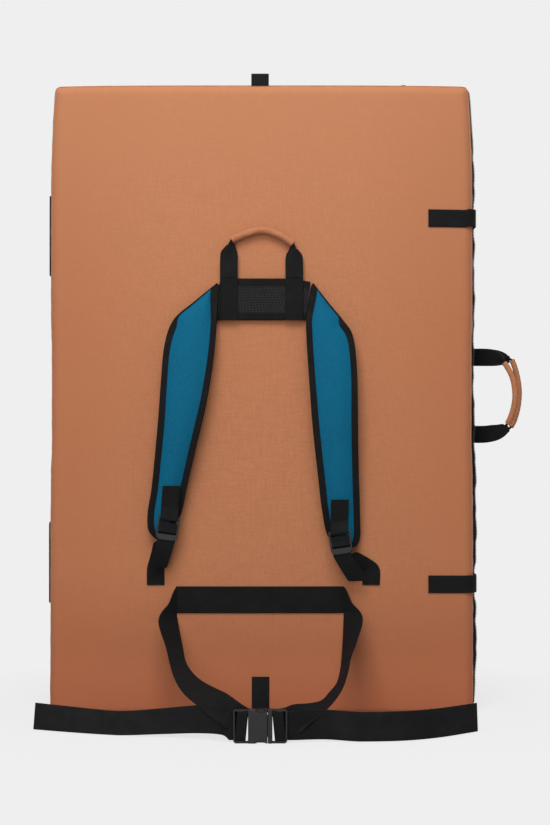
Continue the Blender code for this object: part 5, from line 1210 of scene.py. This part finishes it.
def make_belt(word, side, loops, tails, end_x, rise):
    """Waist webbing: from under the band, twisting out to the buckle, round its bar, and a tail."""
    rows = []
    for x, out, z, ax, ay, az, width in loops:
        root = on_face(x * HALF_WIDTH, z * BAND[2], 0, 0)
        y = root[1] + (BUCKLE_Y - root[1]) * out
        rows.append((x * HALF_WIDTH, y, z * BAND[2], ax, ay, az, width * BELT))
    middle = belt_strands(side, rise)
    steps = 14
    loop = through(rows + [middle[0], middle[1]], steps)[:-steps]
    tail_rows = [middle[-1]]
    for x, out, lift, lean in tails:
        lean = math.radians(lean)
        ground = BELT / 2 * math.cos(lean) + GAP + THICK / 2 + lift * MM
        tail_rows.append((x * end_x, FACE - out * (FACE - BUCKLE_Y), ground,
                          0, -math.sin(lean), -math.cos(lean), BELT))
    rows = np.vstack([loop, middle[1:], through(tail_rows, steps)[1:]])
    reach = rows[:, 6] / 2 * np.abs(unit(rows[:, 3:6])[:, 2])
    rows[:, 2] = np.maximum(rows[:, 2], reach + GAP + THICK / 2)
    made = ribbon("waist_belt_" + word, rows[:, :3], rows[:, 3:6], rows[:, 6], THICK, belt_webbing)
    if side > 0:
        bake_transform(made)
    wear(made, "harness_half" if side < 0 else None, "webbing", "waist_webbing_" + word)


def make_tongue():
    """Flat tongue of the plug inside the socket: a rounded slab, thinner at its tip. It is partly a dark
    piece put in the socket's mouth to stand in for the shade there.
    """
    x = np.linspace(4 * MM, 13 * MM, 10)
    thin = np.interp(x, [4 * MM, 6 * MM], [0.6, 1.0])
    turn = TAU * np.arange(24) / 24
    y = np.sign(np.cos(turn)) * np.abs(np.cos(turn)) ** 0.3 * 1.5 * MM
    z = np.sign(np.sin(turn)) * np.abs(np.sin(turn)) ** 0.3 * 14.5 * MM
    y, z = BUCKLE_Y + y * thin[:, None], BUCKLE_Z + z * (0.9 + 0.1 * thin[:, None])
    rings = stacked(x[:, None], y, z)
    around = np.append(turn, TAU) * 10 * MM
    wear(skin("buckle_tongue", rings, x, around, plastic), "buckle_plug", "black_plastic")


def make_waist():
    """Sewn band on the face, the two belts and the buckle."""
    x = np.linspace(BAND[0], BAND[1], 60)
    face = on_face(x, BAND[2], GAP + THICK / 2)
    band = ribbon("waist_band_web", face, UPRIGHT, BELT, THICK, belt_webbing)
    wear(band, "harness_half", "webbing", "waist_band")
    proud, reach = GAP + THICK + PROUD, 16.5
    lines = [on_face(x[1:-1], BAND[2] + z * MM, proud) for z in (-reach, reach)]
    lines += [on_face(at, BAND[2] + np.linspace(-reach, reach, 12) * MM, proud)
              for at in (BAND[0] + 2 * MM, BAND[1] - 2 * MM)]
    stitches("waist_band_stitch", lines, "harness_half")
    make_belt("left", -1, LEFT_LOOP, LEFT_TAIL, -305 * MM, LEFT_RISE)
    make_belt("right", 1, RIGHT_LOOP, RIGHT_TAIL, 289 * MM, RIGHT_RISE)
    # the plug's tongue, partly a dark piece standing in for shade in the socket's mouth
    make_tongue()
    dress(plastic, "waist_buckle_socket", "waist_buckle_plug", "waist_buckle_prong_upper",
          "waist_buckle_prong_lower")


# ---- studio

def glow(tree, colour, strength):
    return add(tree, "Background", {"Color": colour, "Strength": strength}).outputs[0]


def seen_by(tree, *rays):
    """One where a ray of these kinds looks, and nothing for the light that bounces."""
    path = add(tree, "LightPath")
    seen = path.outputs[rays[0]]
    for ray in rays[1:]:
        seen = calc(tree, "MAXIMUM", seen, path.outputs[ray])
    return seen


def fresh(holder):
    """The emptied node tree of a material or world."""
    holder.use_nodes = True
    holder.node_tree.nodes.clear()
    return holder.node_tree


def place_in_scene(name, data, location, turn=(0, 0, 0)):
    obj = bpy.data.objects.new(name, data)
    obj.location, obj.rotation_euler = location, turn
    bpy.context.scene.collection.objects.link(obj)
    return obj


def make_studio():
    """Pale floor, even world, three soft lamps (key, fill and rim) and the camera."""
    back = screen(239, 239, 239)
    floor_mat = bpy.data.materials.new("pale_floor")
    tree = fresh(floor_mat)
    pale = mix(tree, seen_by(tree, "Is Camera Ray"), (0.5, 0.5, 0.5, 1), (0.88, 0.88, 0.88, 1))
    grey = add(tree, "BsdfDiffuse", {"Color": pale})
    plain = add(tree, "Emission", {"Color": back, "Strength": 1.0})
    place = own_place(tree)
    spread = add(tree, "VectorMath", {0: place, 1: (1.0, 1.3, 1.0)}, operation="MULTIPLY").outputs[0]
    far = add(tree, "VectorMath", {0: spread}, operation="LENGTH").outputs["Value"]
    seen = seen_by(tree, "Is Camera Ray", "Is Glossy Ray")
    share = times(tree, ramp(tree, far, 0.25, 0.65, 0.83, 1.0), seen)
    both = add(tree, "MixShader", {0: share, 1: grey.outputs[0], 2: plain.outputs[0]})
    add(tree, "OutputMaterial", {"Surface": both.outputs[0]})
    mesh = bpy.data.meshes.new("floor")
    s = 6.0
    mesh.from_pydata([(-s, -s, 0), (s, -s, 0), (s, s, 0), (-s, s, 0)], [], [(0, 1, 2, 3)])
    mesh.materials.append(floor_mat)
    place_in_scene("floor", mesh, (0, 0, -0.2 * MM))
    world = bpy.context.scene.world = bpy.data.worlds.new("even_room")
    tree = fresh(world)
    seen = seen_by(tree, "Is Camera Ray", "Is Glossy Ray", "Is Transmission Ray")
    both = add(tree, "MixShader", {0: seen, 1: glow(tree, (1, 1, 1, 1), 0.25), 2: glow(tree, back, 1.0)})
    add(tree, "OutputWorld", {"Surface": both.outputs[0]})
    for name, place, aim, size, power in (
            ("key_lamp", (-0.15, -1.5, 2.4), (0, 0, 0.6), (1.5, 1.1), 46),
            ("fill_lamp", (-0.7, -3.0, 1.3), (0, 0, 0.42), (1.6, 1.6), 25),
            ("rim_lamp", (1.8, 2.2, 2.0), (0, 0, 0.5), (1.5, 1.2), 14)):
        lamp = bpy.data.lights.new(name, "AREA")
        lamp.shape, lamp.size, lamp.size_y, lamp.energy = "RECTANGLE", size[0], size[1], power
        turn = (Vector(aim) - Vector(place)).to_track_quat("-Z", "Y").to_euler()
        place_in_scene(name, lamp, place, turn)
    bpy.context.scene.view_settings.view_transform = "Standard"
    camera = bpy.data.cameras.new("camera")
    camera.lens, camera.sensor_width, camera.sensor_fit = 75.3, 36, "AUTO"
    level = (math.pi / 2, 0, 0)
    bpy.context.scene.camera = place_in_scene("camera", camera, (0.019, -2.495, 0.426), level)


for step in (make_half, make_seams, make_zip):
    for half in HALVES:
        step(*half)
make_hinge()
make_patches()
make_closures()
make_seam_tabs()
make_yoke()
make_handles()
make_strap("left", LEFT_STRAP, (-131.8, 346), -LOCK_TURN, 0.075, -150.5, (-146.5, 207), (-1, -2.5, -3.5))
make_strap("right", RIGHT_STRAP, (111.2, 365.5), LOCK_TURN, 0.028, 155.5, (137, 188), (1, 3, 3))
make_waist()
make_studio()

bpy.context.view_layer.update()
